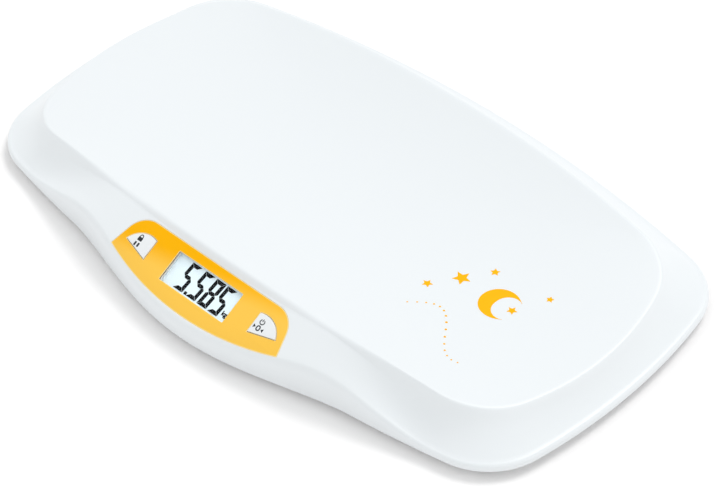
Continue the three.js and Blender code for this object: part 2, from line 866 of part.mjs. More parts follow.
const cellTop = cellHeight + cellThickness;
const batteryPitch = 2 * batteryRadius + batteryGap;
const bayHalfLength = batteryLength / 2 + springLength / 2 + contactThickness + 2 * seatGap;
const bayHalfWidth = (batteryPitch * batteryCount) / 2;
const doorRoom = 2 * doorBarrelRadius + 2 * slideGap;
const bayLowY = bayUp - bayHalfWidth;
const bayHighY = bayUp + bayHalfWidth + doorRoom;
const doorTop = baseHeight + doorThickness;
const batteryZ = doorTop + slideGap + batteryRadius;
const bayTop = batteryZ + batteryRadius + slideGap;
const barrelY = bayHighY - slideGap - doorBarrelRadius;
const barrelZ = baseHeight + doorBarrelRadius;
const tabZ = batteryZ + contactHalfHeight - tabHeight;
const tabEnd = bayHalfLength - seatGap + tabReach;
const footPlaces = [
  ["front_left", -footOut, rimCentre - footUp, 1],
  ["front_right", footOut, rimCentre - footUp, 1],
  ["back_left", -footOut, rimCentre + footUp, -1],
  ["back_right", footOut, rimCentre + footUp, -1],
];
const cellSide = 2 * (footRadius + cellMargin);
const pocketInner = cellSide / 2 + pocketGap;
const ledgeInner = (footRadius + footFlange + footSideGap) * Math.SQRT1_2;
const pocketOuter = pocketInner + pocketWall;
const legInner = pocketOuter + slideGap;
const legOuter = legInner + clampLegThickness;
const clampLow = cellTop + seatGap;
const legLow = clampLow - clampLegLength;
const leadHeight = cellTop - leadRadius;

function basePoint(station, inset) {
  return rimPoint(station, shellWall + baseInset + inset);
}

const baseRings = [
  [baseWall * 2, floorTop],
  [baseWall, floorTop + baseWall / 2],
  [baseWall, baseRimHeight],
  [0, baseRimHeight],
  [0, baseHeight + baseEdgeChamfer],
  [baseEdgeChamfer, baseHeight],
].map(([inset, z]) => ringAt((station) => level(basePoint(station, inset), z)));
const basePlate = stacked(
  new THREE.Vector3(0, rimCentre, floorTop),
  baseRings,
  new THREE.Vector3(0, rimCentre, baseHeight),
);

const floorMiddle = baseHeight + baseWall / 2;
const pockets = footPlaces.flatMap(([, x, y]) => {
  const collar = cut(
    box(x - pocketOuter, x + pocketOuter, y - pocketOuter, y + pocketOuter, floorMiddle, cellTop),
    box(x - pocketInner, x + pocketInner, y - pocketInner, y + pocketInner, baseHeight, clampLow),
  );
  const overlap = pocketInner + pocketWall / 2;
  const ledges = [1, -1].flatMap((signX) => [1, -1].map((signY) => {
    const [lowX, highX] = signX > 0 ? [ledgeInner, overlap] : [-overlap, -ledgeInner];
    const [lowY, highY] = signY > 0 ? [ledgeInner, overlap] : [-overlap, -ledgeInner];
    return box(x + lowX, x + highX, y + lowY, y + highY, floorMiddle, cellHeight - seatGap);
  }));
  return [collar, ...ledges];
});
const pocketCuts = footPlaces.flatMap(([, x, y, inward]) => {
  const windowHalf = clampLegWidth / 2 + slideGap;
  const windowLow = legLow - slideGap;
  const windowHigh = legLow + clampNoseHeight + slideGap;
  const windows = [1, -1].map((side) => {
    const inner = x + side * (legInner - clampNose - slideGap);
    const outer = x + side * (pocketOuter + cutOverrun);
    const [low, high] = [inner, outer].sort((a, b) => a - b);
    return box(low, high, y - windowHalf, y + windowHalf, windowLow, windowHigh);
  });
  const notchInner = y + inward * (pocketInner - seatGap);
  const notchOuter = y + inward * (pocketOuter + cutOverrun);
  const [low, high] = [notchInner, notchOuter].sort((a, b) => a - b);
  const notchHalf = leadRadius + slideGap;
  const notch = box(
    x - notchHalf, x + notchHalf, low, high, leadHeight - notchHalf, clampLow,
  );
  const hole = post(footRadius + footSideGap, baseHeight - cutOverrun, floorTop + seatGap, x, y);
  return [...windows, notch, hole];
});

const screwBosses = screwPlaces.map(([x, y]) => {
  return post(baseBossRadius, floorMiddle, screwSeatHeight + screwSeatThickness, x, y, 12);
});
const screwCuts = screwPlaces.flatMap(([x, y]) => [
  post(screwHeadRadius + slideGap, baseHeight - cutOverrun, screwSeatHeight, x, y, 12),
  post(screwRadius + seatGap, baseHeight, screwSeatHeight + cutOverrun, x, y, 8),
]);

const bay = box(
  -bayHalfLength - bayWall, bayHalfLength + bayWall,
  bayLowY - bayWall, bayHighY + bayWall, floorMiddle, bayTop + bayWall,
);
const bayHollow = box(
  -bayHalfLength, bayHalfLength, bayLowY, bayHighY, baseHeight - cutOverrun, bayTop,
);
const pinReach = bayHalfLength - slideGap + doorPinLength;
const pinBosses = [1, -1].map((side) => {
  const ends = [side * bayHalfLength, side * (pinReach + slideGap + bayWall)];
  const [low, high] = ends.sort((a, b) => a - b);
  const around = doorPinRadius + seatGap + bayWall;
  return box(low, high, barrelY - around, barrelY + around, baseHeight, barrelZ + around);
});
const pinHoles = bar(
  doorPinRadius + seatGap, -pinReach - slideGap, pinReach + slideGap, barrelY, barrelZ,
);
const tabSlots = [[1, bayUp - batteryPitch], [-1, bayUp + batteryPitch]].map(([side, y]) => {
  const ends = [side * (bayHalfLength - seatGap), side * (bayHalfLength + bayWall + cutOverrun)];
  const [low, high] = ends.sort((a, b) => a - b);
  const half = tabWidth / 2 + seatGap;
  return box(low, high, y - half, y + half, tabZ - seatGap, tabZ + tabHeight + seatGap);
});

const baseShell = cut(
  joined(basePlate, ...pockets, ...screwBosses, bay, ...pinBosses),
  ...pocketCuts, ...screwCuts, bayHollow, pinHoles, ...tabSlots,
);
piece("base_shell", baseShell, colours.shell, 0.45);

screwPlaces.forEach(([x, y], index) => {
  const headTop = screwSeatHeight - seatGap;
  const headLow = headTop - screwHeadHeight;
  const profile = [
    [0, headLow],
    [screwHeadRadius * screwHeadShare, headLow],
    [screwHeadRadius, headLow + screwHeadHeight / 2],
    [screwHeadRadius, headTop],
    [screwRadius, headTop],
    [screwRadius, headTop + screwLength - screwRadius],
    [0, headTop + screwLength],
  ];
  const recess = post(screwRecessRadius, headLow - cutOverrun, headLow + screwRecessDepth, 0, 0, 4);
  const screw = turned(profile, 10).subtract(recess);
  const mesh = piece("base_screw_" + (index + 1), screw, colours.steel, 0.35, 0.9);
  mesh.position.set(x, y, 0);
});

// Feet, pads, load cells and their clamps

footPlaces.forEach(([name, x, y]) => {
  const pad = turned([
    [0, 0],
    [padRadius - padThickness / 4, 0],
    [padRadius, padThickness / 4],
    [padRadius, padThickness],
    [0, padThickness],
  ]);
  piece("foot_pad_" + name, pad, colours.pad, 0.85).position.set(x, y, 0);

  const footLow = padThickness + seatGap;
  const flangeLow = floorTop + seatGap;
  const flangeTop = flangeLow + footFlangeThickness;
  const foot = turned([
    [0, footLow],
    [footRadius - footFlangeThickness, footLow],
    [footRadius, footLow + footFlangeThickness],
    [footRadius, flangeLow],
    [footRadius + footFlange, flangeLow],
    [footRadius + footFlange, flangeTop],
    [pressRadius, flangeTop],
    [pressRadius, cellHeight - footTravel - fineGap],
    [0, cellHeight - footTravel - fineGap],
  ], 20);
  piece("foot_" + name, foot, colours.shell, 0.5).position.set(x, y, 0);

  const half = cellSide / 2 - cellFrame;
  const tongue = half * cellTongueShare;
  const cellShape = roundedRectangle(cellSide, cellSide, cellCornerRadius);
  const slot = new THREE.Path();
  slot.moveTo(-half, half);
  slot.lineTo(-half, -half);
  slot.lineTo(half, -half);
  slot.lineTo(half, half);
  slot.lineTo(tongue, half);
  slot.lineTo(tongue, -half + cellSlot);
  slot.lineTo(-tongue, -half + cellSlot);
  slot.lineTo(-tongue, half);
  slot.closePath();
  cellShape.holes.push(slot);
  const cell = prism(cellShape, cellHeight, cellTop, 3);
  piece("load_cell_" + name, cell, colours.steel, 0.4, 0.9).position.set(x, y, 0);

  const plateTop = clampLow + clampThickness;
  const legs = [1, -1].flatMap((side) => {
    const [low, high] = [side * legInner, side * legOuter].sort((a, b) => a - b);
    const [tip, root] = [side * (legInner - clampNose), side * legInner].sort((a, b) => a - b);
    const across = clampLegWidth / 2;
    return [
      box(low, high, -across, across, legLow, plateTop),
      box(tip, root, -across, across, legLow, legLow + clampNoseHeight),
    ];
  });
  const clamp = joined(
    box(-legOuter, legOuter, -pocketOuter, pocketOuter, clampLow, plateTop),
    ...legs,
  ).subtract(post(clampOpeningRadius, clampLow - cutOverrun, plateTop + cutOverrun));
  piece("load_cell_clamp_" + name, clamp, colours.grey, 0.6).position.set(x, y, 0);
});

// Batteries, contacts and the door of their bay

const cellPlaces = [
  ["battery_1", bayUp - batteryPitch, 1],
  ["battery_2", bayUp, -1],
  ["battery_3", bayUp + batteryPitch, 1],
];
const plusEnd = bayHalfLength - seatGap - contactThickness - seatGap;
cellPlaces.forEach(([name, y, plusSide]) => {
  const tip = plusEnd;
  const shoulder = tip - batteryNubHeight;
  const tail = tip - batteryLength;
  const profile = [
    [0, tail],
    [batteryRadius, tail],
    [batteryRadius, shoulder],
    [batteryNubRadius, shoulder],
    [batteryNubRadius, tip],
    [0, tip],
  ];
  const geometry = geometryOf(turned(profile, 16));
  geometry.rotateY((plusSide * Math.PI) / 2);
  geometry.translate(0, y, batteryZ);
  piece(name, solid(geometry), colours.battery, 0.35, 0.3);
});

class Coil extends THREE.Curve {
  constructor(start, direction, radius, length, turns) {
    super();
    Object.assign(this, { start, direction, radius, length, turns });
  }

  getPoint(share, target = new THREE.Vector3()) {
    const turn = share * this.turns * Math.PI * 2;
    const y = this.radius * Math.cos(turn);
    const z = this.radius * Math.sin(turn);
    return target.set(this.direction * this.length * share, y, z).add(this.start);
  }
}

function contactPlate(side, lowY, highY) {
  const outer = side * (bayHalfLength - seatGap);
  const inner = outer - side * contactThickness;
  const [low, high] = [outer, inner].sort((a, b) => a - b);
  return box(
    low, high, lowY - contactHalfWidth, highY + contactHalfWidth,
    batteryZ - contactHalfHeight, batteryZ + contactHalfHeight,
  );
}

function contactSpring(side, y) {
  const rootX = side * (bayHalfLength - seatGap - contactThickness / 2);
  const start = new THREE.Vector3(rootX, y, batteryZ);
  const reach = springLength - seatGap - springWire / 2;
  const coil = new Coil(start, -side, springRadius, reach, springTurns);
  return tube(coil, springWire / 2, Math.round(springTurns * springStepsPerTurn), 5);
}

function contactTab(side, y) {
  const inner = side * (bayHalfLength - seatGap - contactThickness);
  const [low, high] = [inner, side * tabEnd].sort((a, b) => a - b);
  return box(low, high, y - tabWidth / 2, y + tabWidth / 2, tabZ, tabZ + tabHeight);
}

const [cellA, cellB, cellC] = cellPlaces.map(([, y]) => y);
const contacts = {
  contact_positive: [contactPlate(1, cellA, cellA), contactTab(1, cellA)],
  contact_bridge_left: [contactPlate(-1, cellA, cellB), contactSpring(-1, cellA)],
  contact_bridge_right: [contactPlate(1, cellB, cellC), contactSpring(1, cellB)],
  contact_negative: [
    contactPlate(-1, cellC, cellC), contactSpring(-1, cellC), contactTab(-1, cellC),
  ],
};
Object.entries(contacts).forEach(([name, pieces]) => {
  piece(name, joined(...pieces), colours.steel, 0.3, 0.95);
});

const doorHalf = bayHalfLength - slideGap;
const doorPlate = box(
  -doorHalf, doorHalf, bayLowY + slideGap, barrelY, baseHeight, doorTop,
);
const barrel = bar(doorBarrelRadius, -doorHalf, doorHalf, barrelY, barrelZ, 20);
const pin = bar(doorPinRadius, -pinReach, pinReach, barrelY, barrelZ, 12);
const gripY = bayLowY + slideGap + doorGripWidth / 2;
const grip = bar(
  doorGripRadius, -doorGripWidth / 2, doorGripWidth / 2,
  gripY, baseHeight + doorGripDepth - doorGripRadius, 32,
);
const door = joined(doorPlate, barrel, pin).subtract(grip);
piece("battery_door", door, colours.shell, 0.45);

// Leads, each one tube from its terminal along the floor to the underside of the board

const leadFloor = floorTop + seatGap + leadRadius;

// Where the curve would sag between its points, it lies on the floor.
class FloorCurve extends THREE.CatmullRomCurve3 {
  getPoint(share, target) {
    const point = super.getPoint(share, target);
    point.z = Math.max(point.z, leadFloor);
    return point;
  }
}

function lead(name, slot, start, outwards, routeShares, steps, colour) {
  const end = consolePlace(slot * leadSpread, 0, boardLow - seatGap);
  const underEnd = consolePlace(slot * leadSpread, 0, boardLow - seatGap - leadTurn);
  const onFloor = new THREE.Vector3(end.x, underEnd.y + leadTurn, leadFloor);
  const leaving = start.clone().addScaledVector(outwards, leadTurn / 2);
  const between = routeShares.map(([alongShare, forwardShare]) => {
    const place = leaving.clone().lerp(onFloor, alongShare);
    return new THREE.Vector3(place.x, place.y - forwardShare * leadTurn, leadFloor);
  });
  const points = [start, leaving, ...between, onFloor, underEnd, end];
  const curve = new FloorCurve(points, false, "centripetal");
  piece(name, tube(curve, leadRadius, steps, 6), colour, 0.6);
}

footPlaces.forEach(([name, x, y, inward]) => {
  const startY = y + inward * (cellSide / 2 + seatGap);
  const start = new THREE.Vector3(x, startY, leadHeight);
  const outwards = new THREE.Vector3(0, inward, 0);
  const [slot, routeShares, steps] = inward > 0
    ? [Math.sign(x) * 5, frontRouteShares, 28]
    : [Math.sign(x) * 3, backRouteShares, 34];
  lead("load_cell_lead_" + name, slot, start, outwards, routeShares, steps, colours.grey);
});
[
  ["battery_lead_positive", 1, cellA, colours.red],
  ["battery_lead_negative", -1, cellC, colours.black],
].forEach(([name, side, y, colour]) => {
  const start = new THREE.Vector3(side * (tabEnd + seatGap), y, tabZ + tabHeight / 2);
  lead(name, side, start, new THREE.Vector3(side, 0, 0), batteryRouteShares, 24, colour);
});

export default object;
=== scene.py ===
import math

import bmesh
import bpy
from bpy.props import FloatProperty, FloatVectorProperty, IntProperty, PointerProperty
from mathutils import Matrix, Vector
from mathutils.bvhtree import BVHTree


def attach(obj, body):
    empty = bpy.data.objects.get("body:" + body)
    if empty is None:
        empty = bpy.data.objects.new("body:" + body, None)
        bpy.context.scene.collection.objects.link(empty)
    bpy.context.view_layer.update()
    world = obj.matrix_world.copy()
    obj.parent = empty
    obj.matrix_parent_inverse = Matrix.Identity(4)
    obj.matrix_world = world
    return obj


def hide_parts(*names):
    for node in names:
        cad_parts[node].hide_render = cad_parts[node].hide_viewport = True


bl_info = {
    "name": "Baby Scale Pieces",
    "version": (1, 0, 0),
    "blender": (4, 5, 0),
    "location": "View3D > Sidebar > Baby Scale",
    "description": "Builds the visible pieces of a digital baby weighing scale",
    "category": "Object",
}

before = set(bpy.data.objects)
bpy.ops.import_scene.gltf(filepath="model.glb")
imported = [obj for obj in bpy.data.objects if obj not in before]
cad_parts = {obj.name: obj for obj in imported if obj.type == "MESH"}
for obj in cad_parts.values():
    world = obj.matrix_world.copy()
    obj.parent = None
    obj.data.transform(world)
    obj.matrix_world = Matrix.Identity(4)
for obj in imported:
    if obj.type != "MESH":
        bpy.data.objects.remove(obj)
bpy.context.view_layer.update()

# Lengths below are in millimetres, as in the part, and pieces are scaled to metres at the end
MM = 0.001

# Gaps between pieces that rest on each other, and between pieces that slide
SEAT_GAP = 0.3
SLIDE_GAP = 0.4

# Outline of the rim: its radii are those of the end, side and corner arcs
SCALE_LENGTH = 555
RIM_WIDTH = 319
RIM_RADII = (500, 1135, 56.5)
BULGE_HALF = 143
BULGE_DEPTH = 19.7
BULGE_SHAPE = 0.78
BACK_SWELL = 4.7
RIM_CENTRE = BULGE_DEPTH / 2

# Crest round the tray, and the tray within it
CREST_LENGTH = 516
CREST_WIDTH = 253.6
CREST_RADII = (237, 1565, 60)
CREST_CENTRE = RIM_CENTRE - 4.6
CREST_ARCH = 2.46
CREST_INSET = 2.5
TRAY_FLOOR = 31
TRAY_DEPTH = 22
END_RISE = 2.5
CREST_TOP = TRAY_FLOOR + TRAY_DEPTH
CREST_END = TRAY_FLOOR + END_RISE

# Section of the shell from the crest down the flange and over the roll to the lip
SHELL_WALL = 2.5
WALL_MIDDLE = 1.2
WALL_SHIFT = 0.87
CREST_RUN = 3
WALL_RUN = 5
FLANGE_SLOPE = math.radians(26.5)
RIM_HEIGHT = 13
ROLL_RUN = 3.5
ROLL_DROP = 3.5
ROLL_SHARES = (0.55, 0.45)
LIP_HEIGHT = 7

# Console: its inclined plane, the wall behind it and the roll in front
TILT = math.radians(29.3)
CONSOLE_BACK = 142.4
CONSOLE_HEIGHT = 37.2
FLAT_HALF = 91
FADE_HALF = 205
CONSOLE_WALL_RUN = 5.1
CONSOLE_WALL_RISE = 1.8
CONSOLE_WALL_SHARES = (0.55, 0.7)
CONSOLE_ROLL_RUN = 4
CONSOLE_ROLL_DROP = 10
CONSOLE = Matrix.Translation((0, -CONSOLE_BACK, CONSOLE_HEIGHT)) @ Matrix.Rotation(TILT, 4, "X")

# Yellow plate: from its middle to its tips, its front and its back
PLATE_HALF = 86
PLATE_TIP_DROP = 10.7
PLATE_FRONT = 25.8
PLATE_BACK = 20.3
PLATE_CORNER = 19
PLATE_LEAN = math.radians(15)
PLATE_SAGITTA = PLATE_FRONT - PLATE_TIP_DROP
PLATE_THICKNESS = 1.2

# Keys: their outline, and how far they stand out of the plate
KEY_INNER_EDGE = 54.2
KEY_LOW_EDGE = 7.35
KEY_RISE = math.radians(14.75)
KEY_RADIUS = 18.4
KEY_CENTRE = (60, -8.6)
KEY_PROUD = 0.7
KEY_FLANGE = 1.2
KEY_FLANGE_THICKNESS = 1.2

# What lies under the plate, down from the console's plane: rectangles are length, width and corner
SEAT_THICKNESS = 4
RECESS_DEPTH = 1.5
LENS_THICKNESS = 1
REBATE_DEPTH = RECESS_DEPTH + LENS_THICKNESS + SEAT_GAP
GLASS_DEPTH = SEAT_THICKNESS + SEAT_GAP
GLASS_THICKNESS = 2.8
WINDOW = (65.5, 25.3, 0.6)
LENS = (69.9, 29.7, 0.6)
GLASS = (68.3, 28.1, 0.6)
BOARD_DEPTH = 11.6
BOARD_THICKNESS = 1.6
BOARD_SCREW_PLACES = [(side * 44.925, way * 9.5) for side in (1, -1) for way in (1, -1)]

# Base, feet and the screws that hold the base
BASE_HEIGHT = 5
BASE_WALL = 2.2
BASE_CHAMFER = 3
FLOOR_TOP = BASE_HEIGHT + BASE_WALL
FLOOR_MIDDLE = BASE_HEIGHT + BASE_WALL / 2
BASE_RIM = FLOOR_TOP + 2.6
FOOT_OUT = 202
FOOT_UP = 97.08
FOOT_PLACES = {
    "front_left": (-FOOT_OUT, RIM_CENTRE - FOOT_UP, 1),
    "front_right": (FOOT_OUT, RIM_CENTRE - FOOT_UP, 1),
    "back_left": (-FOOT_OUT, RIM_CENTRE + FOOT_UP, -1),
    "back_right": (FOOT_OUT, RIM_CENTRE + FOOT_UP, -1),
}
SCREW_PLACES = [
    (side * out, RIM_CENTRE + way * up)
    for side in (1, -1)
    for way in (1, -1)
    for out, up in ((243, 58.08), (112, 125.96))
]
SCREW_SEAT = FLOOR_TOP + 2.1
SCREW_HEAD = 2.2
SCREW_LENGTH = 14
BOSS_LOW = SCREW_SEAT + SCREW_HEAD + SEAT_GAP

# Battery bay, the barrel of its door, and the cells
BAY_HALF = 25.35
BAY_LOW = 16.9
BAY_HIGH = 54.5
BAY_TOP = 17.9
BAY_WALL = 1.8
BARREL_Y = 52.8
BARREL_Z = 6.3
CELL_Z = 12.25
CELL_ROWS = (22.6, 34, 45.4)

# Thin shapes on the keys, the glass and the tray
MARK_LOW = KEY_PROUD - 0.02
MARK_HIGH = KEY_PROUD + 0.04
MARK_LINE = 0.75
READING_HEIGHT = 0.08
PRINT_HEIGHT = 0.05

# Depth of the grain of surfaces and of the lens's waviness, in metres
GRAIN_RELIEF = 0.2 * MM
LENS_RELIEF = 0.1 * MM


# Outlines

def arc_outline(length, width, radii, centre_y):
    """Outline of end, corner and side arcs that run into each other, as a function of a station."""
    end_radius, side_radius, corner_radius = radii
    end = Vector((length / 2 - end_radius, 0))
    side = Vector((0, width / 2 - side_radius))
    reach = (side - end).length
    along = (side - end) / reach
    end_reach = end_radius - corner_radius
    side_reach = side_radius - corner_radius
    foot = (end_reach**2 - side_reach**2 + reach**2) / (2 * reach)
    rise = math.sqrt(end_reach**2 - foot**2)
    corner = end + along * foot + Vector((-along.y, along.x)) * rise
    end_turn = math.atan2(*reversed(corner - end))
    side_turn = math.atan2(*reversed(corner - side))
    arcs = (
        (end, end_radius, 0, end_turn),
        (corner, corner_radius, end_turn, side_turn),
        (side, side_radius, side_turn, math.pi / 2),
    )

    def at(station, inset):
        arc, share, sign_x, sign_y = station
        centre, radius, start, stop = arcs[arc]
        turn = start + (stop - start) * share
        x = centre.x + (radius - inset) * math.cos(turn)
        y = centre.y + (radius - inset) * math.sin(turn)
        return Vector((sign_x * x, sign_y * y + centre_y))

    return at


def stations_round(end_steps, corner_steps, back_steps, front_steps):
    """Stations once round the outline, against the clock."""
    quarters = ((1, 1, back_steps), (-1, 1, back_steps), (-1, -1, front_steps), (1, -1, front_steps))
    stations = []
    for index, (sign_x, sign_y, side_steps) in enumerate(quarters):
        quarter = [
            (arc, i / steps, sign_x, sign_y)
            for arc, steps in enumerate((end_steps, corner_steps, side_steps))
            for i in range(steps)
        ]
        if index % 2 == 0:
            stations += quarter
        else:
            stations += [(2, 1, sign_x, sign_y)] + quarter[:0:-1]
    return stations


rim_outline = arc_outline(SCALE_LENGTH, RIM_WIDTH, RIM_RADII, RIM_CENTRE)
crest_outline = arc_outline(CREST_LENGTH, CREST_WIDTH, CREST_RADII, CREST_CENTRE)


def rim_point(station, inset):
    """Place on the rim's outline, with the bulge in front and the swell at the back."""
    point = rim_outline(station, inset)
    if station[3] < 0:
        share = min(1, abs(point.x) / BULGE_HALF)
        point.y -= BULGE_DEPTH * (0.5 + 0.5 * math.cos(math.pi * share)) ** BULGE_SHAPE
    else:
        point.y += BACK_SWELL * (1 - (point.x / (SCALE_LENGTH / 2)) ** 2)
    return point


def crest_point(station, inset):
    """Place on the line of the crest."""
    return crest_outline(station, CREST_INSET + inset)


def crest_top(x):
    """Height of the crest, which falls towards the ends of the tray."""
    return CREST_TOP - (CREST_TOP - CREST_END) * (abs(x) / (CREST_LENGTH / 2)) ** CREST_ARCH


def console_plane(y, level):
    """Height of the console's plane, at a depth below it."""
    return CONSOLE_HEIGHT + (y + CONSOLE_BACK) * math.tan(TILT) - level / math.cos(TILT)


def console_share(x):
    """How much of the section is console: 1 in its middle, 0 past its ends."""
    share = min(1, max(0, (FADE_HALF - abs(x)) / (FADE_HALF - FLAT_HALF)))
    return share * share * (3 - 2 * share)


def tray_bowl(x, y):
    """Height of the tray's dished floor."""
    along = x / (CREST_LENGTH / 2)
    across = (y - CREST_CENTRE) / (CREST_WIDTH / 2)
    return TRAY_FLOOR + END_RISE * along**2 + TRAY_DEPTH * across**2


def tray_point(station, share, level):
    """Place in the tray, at a share of the way from its middle to the crest."""
    crest = crest_point(station, level * WALL_SHIFT)
    x = crest.x * share
    y = CREST_CENTRE + (crest.y - CREST_CENTRE) * share
    miss = crest_top(crest.x) - tray_bowl(crest.x, crest.y)
    return Vector((x, y, tray_bowl(x, y) + miss * share**4 - level))


def bezier(a, b, c, d):
    """Curve from a to d with two handles, as a function of a share."""
    def at(t):
        s = 1 - t
        weights = (s**3, 3 * s * s * t, 3 * s * t * t, t**3)
        return Vector([sum(w * p[i] for w, p in zip(weights, (a, b, c, d))) for i in (0, 1)])
    return at


def rim_section(station, level, wall_steps, ramp_steps, roll_steps):
    """Section of the shell from the crest to the end of its roll, at a depth below its surface."""
    crest = crest_point(station, level * WALL_SHIFT)
    edge = rim_point(station, level)
    reach = (edge - crest).length
    crest_z = crest_top(crest.x) - level
    rim_z = RIM_HEIGHT - level
    share = console_share((crest.x + edge.x) / 2) if station[3] < 0 else 0

    def plane_at(run):
        return console_plane(crest.y + (edge.y - crest.y) * run / reach, level)

    end = reach - ROLL_RUN
    foot_z = rim_z + (end - WALL_RUN) * math.tan(FLANGE_SLOPE)
    flange = bezier((0, crest_z), (CREST_RUN, crest_z), (WALL_RUN, foot_z), (end, rim_z))
    flange_roll = bezier(
        (end, rim_z),
        (end + ROLL_RUN * ROLL_SHARES[0], rim_z),
        (reach, RIM_HEIGHT - ROLL_DROP * ROLL_SHARES[1]),
        (reach, RIM_HEIGHT - ROLL_DROP),
    )
    foot = CONSOLE_WALL_RUN
    wall = bezier(
        (0, crest_z),
        (foot * CONSOLE_WALL_SHARES[0], crest_z),
        (foot * CONSOLE_WALL_SHARES[1], plane_at(foot) + CONSOLE_WALL_RISE),
        (foot, plane_at(foot)),
    )
    ramp_end = reach - CONSOLE_ROLL_RUN
    ramp_z = plane_at(ramp_end)
    low_z = ramp_z + level / math.cos(TILT) - CONSOLE_ROLL_DROP
    slope = CONSOLE_ROLL_RUN * ROLL_SHARES[0]
    console_roll = bezier(
        (ramp_end, ramp_z),
        (ramp_end + slope, ramp_z - slope * math.tan(TILT)),
        (reach, low_z + (ramp_z - low_z) * ROLL_SHARES[1]),
        (reach, low_z),
    )
    pairs = [(flange(i / wall_steps / 2), wall(i / wall_steps)) for i in range(wall_steps + 1)]
    for i in range(1, ramp_steps + 1):
        run = foot + (ramp_end - foot) * i / ramp_steps
        pairs.append((flange((1 + i / ramp_steps) / 2), Vector((run, plane_at(run)))))
    for i in range(1, roll_steps + 1):
        pairs.append((flange_roll(i / roll_steps), console_roll(i / roll_steps)))
    places = []
    for plain, inclined in pairs:
        run, z = plain.lerp(inclined, share)
        x, y = crest.lerp(edge, run / reach)
        places.append(Vector((x, y, z)))
    return places


def skin_rings(stations, level, tray_steps, crest_steps, section_steps):
    """Rings of the shell's skin from the middle of the tray out to the end of the roll."""
    near = 0.8 * crest_steps
    reaches = [(crest_point(s, 0) - Vector((0, CREST_CENTRE))).length for s in stations]
    shares = [[(1 - near / reach) * i / tray_steps for reach in reaches] for i in range(tray_steps + 1)]
    for i in range(1, crest_steps):
        shares.append([1 - near * (1 - i / crest_steps) / reach for reach in reaches])
    rings = [[tray_point(s, share, level) for s, share in zip(stations, row)] for row in shares]
    sections = [rim_section(s, level, *section_steps) for s in stations]
    return rings + [list(ring) for ring in zip(*sections)]


def level_ring(stations, inset, z):
    """Level ring inside the rim's outline."""
    return [rim_point(s, inset).to_3d() + Vector((0, 0, z)) for s in stations]


def pole_ring(stations, z):
    """Ring drawn together in the middle, which closes a skin."""
    return [Vector((0, RIM_CENTRE, z))] * len(stations)


def circle_points(centre, radius, start, stop, steps):
    """Points on an arc."""
    turns = [start + (stop - start) * i / steps for i in range(steps + 1)]
    return [Vector((centre[0] + radius * math.cos(t), centre[1] + radius * math.sin(t))) for t in turns]


def line_meets_circle(start, way, centre, radius):
    """Where a line from a point runs out through a circle."""
    half = (start - centre).dot(way)
    rest = (start - centre).length_squared - radius**2
    return start + way * (-half + math.sqrt(half**2 - rest))


def plate_outline(grow):
    """Outline of the console's yellow plate: a bow in front, leaning sides and round back corners."""
    bow_radius = (PLATE_HALF**2 + PLATE_SAGITTA**2) / (2 * PLATE_SAGITTA)
    bow_centre = Vector((0, bow_radius - PLATE_FRONT))
    bow = bow_radius + grow
    corner = PLATE_CORNER
    plate_tip = Vector((PLATE_HALF, -PLATE_TIP_DROP))
    lean = Vector((-math.sin(PLATE_LEAN), math.cos(PLATE_LEAN)))
    outward = Vector((lean.y, -lean.x))
    tip = line_meets_circle(plate_tip + outward * grow, -lean, bow_centre, bow)
    along = (PLATE_BACK - corner + PLATE_TIP_DROP) / lean.y
    corner_centre = plate_tip + lean * along - Vector((corner / lean.y, 0))
    side_turn = math.atan2(outward.y, outward.x)
    tip_turn = math.atan2(tip.y - bow_centre.y, tip.x)
    points = circle_points(bow_centre, bow, -math.pi - tip_turn, tip_turn, 48)
    points += circle_points(corner_centre, corner + grow, side_turn, math.pi / 2, 14)
    mirrored = (-corner_centre.x, corner_centre.y)
    points += circle_points(mirrored, corner + grow, math.pi / 2, math.pi - side_turn, 14)
    return points


def key_outline(side):
    """Outline of a key, as a function of how far it grows: straight inside, an arc outside."""
    def at(grow):
        radius = KEY_RADIUS + grow
        centre = Vector(KEY_CENTRE)
        inner = KEY_INNER_EDGE - grow
        rise = Vector((math.cos(KEY_RISE), math.sin(KEY_RISE)))
        start = Vector((KEY_INNER_EDGE, -KEY_LOW_EDGE)) + Vector((rise.y, -rise.x)) * grow
        tip = line_meets_circle(start, rise, centre, radius)
        low = start.y - (start.x - inner) * math.tan(KEY_RISE)
        top = centre.y + math.sqrt(radius**2 - (inner - centre.x) ** 2)
        tip_turn = math.atan2(tip.y - centre.y, tip.x - centre.x)
        top_turn = math.atan2(top - centre.y, inner - centre.x)
        points = [Vector((inner, low))] + circle_points(centre, radius, tip_turn, top_turn, 20)
        return [Vector((side * p.x, p.y)) for p in points]
    return at


def rounded_rectangle(length, width, radius, centre=(0, 0)):
    """Outline of a rectangle with round corners, as a function of how far it grows."""
    def at(grow):
        x = length / 2 - radius
        y = width / 2 - radius
        corner = radius + grow
        points = []
        for i, (out, up) in enumerate(((x, y), (-x, y), (-x, -y), (x, -y))):
            place = (centre[0] + out, centre[1] + up)
            points += circle_points(place, corner, i * math.pi / 2, (i + 1) * math.pi / 2, 4)
        return points
    return at


def circle(radius, centre=(0, 0), steps=32):
    """Outline of a circle, as a function of how far it grows."""
    return lambda grow: circle_points(centre, radius + grow, 0, 2 * math.pi, steps)[:-1]


def softened(points, radius, closed=False, steps=3):
    """The same line with its corners rounded."""
    count = len(points)
    soft = []
    for i, corner in enumerate(points):
        corner = Vector(corner)
        if not closed and i in (0, count - 1):
            soft.append(corner)
            continue
        sides = [Vector(points[i - 1]) - corner, Vector(points[(i + 1) % count]) - corner]
        cut = min(radius, 0.45 * sides[0].length, 0.45 * sides[1].length)
        start, end = (corner + side.normalized() * cut for side in sides)
        for k in range(steps + 1):
            t = k / steps
            soft.append(start * (1 - t) ** 2 + corner * 2 * t * (1 - t) + end * t * t)
    return soft


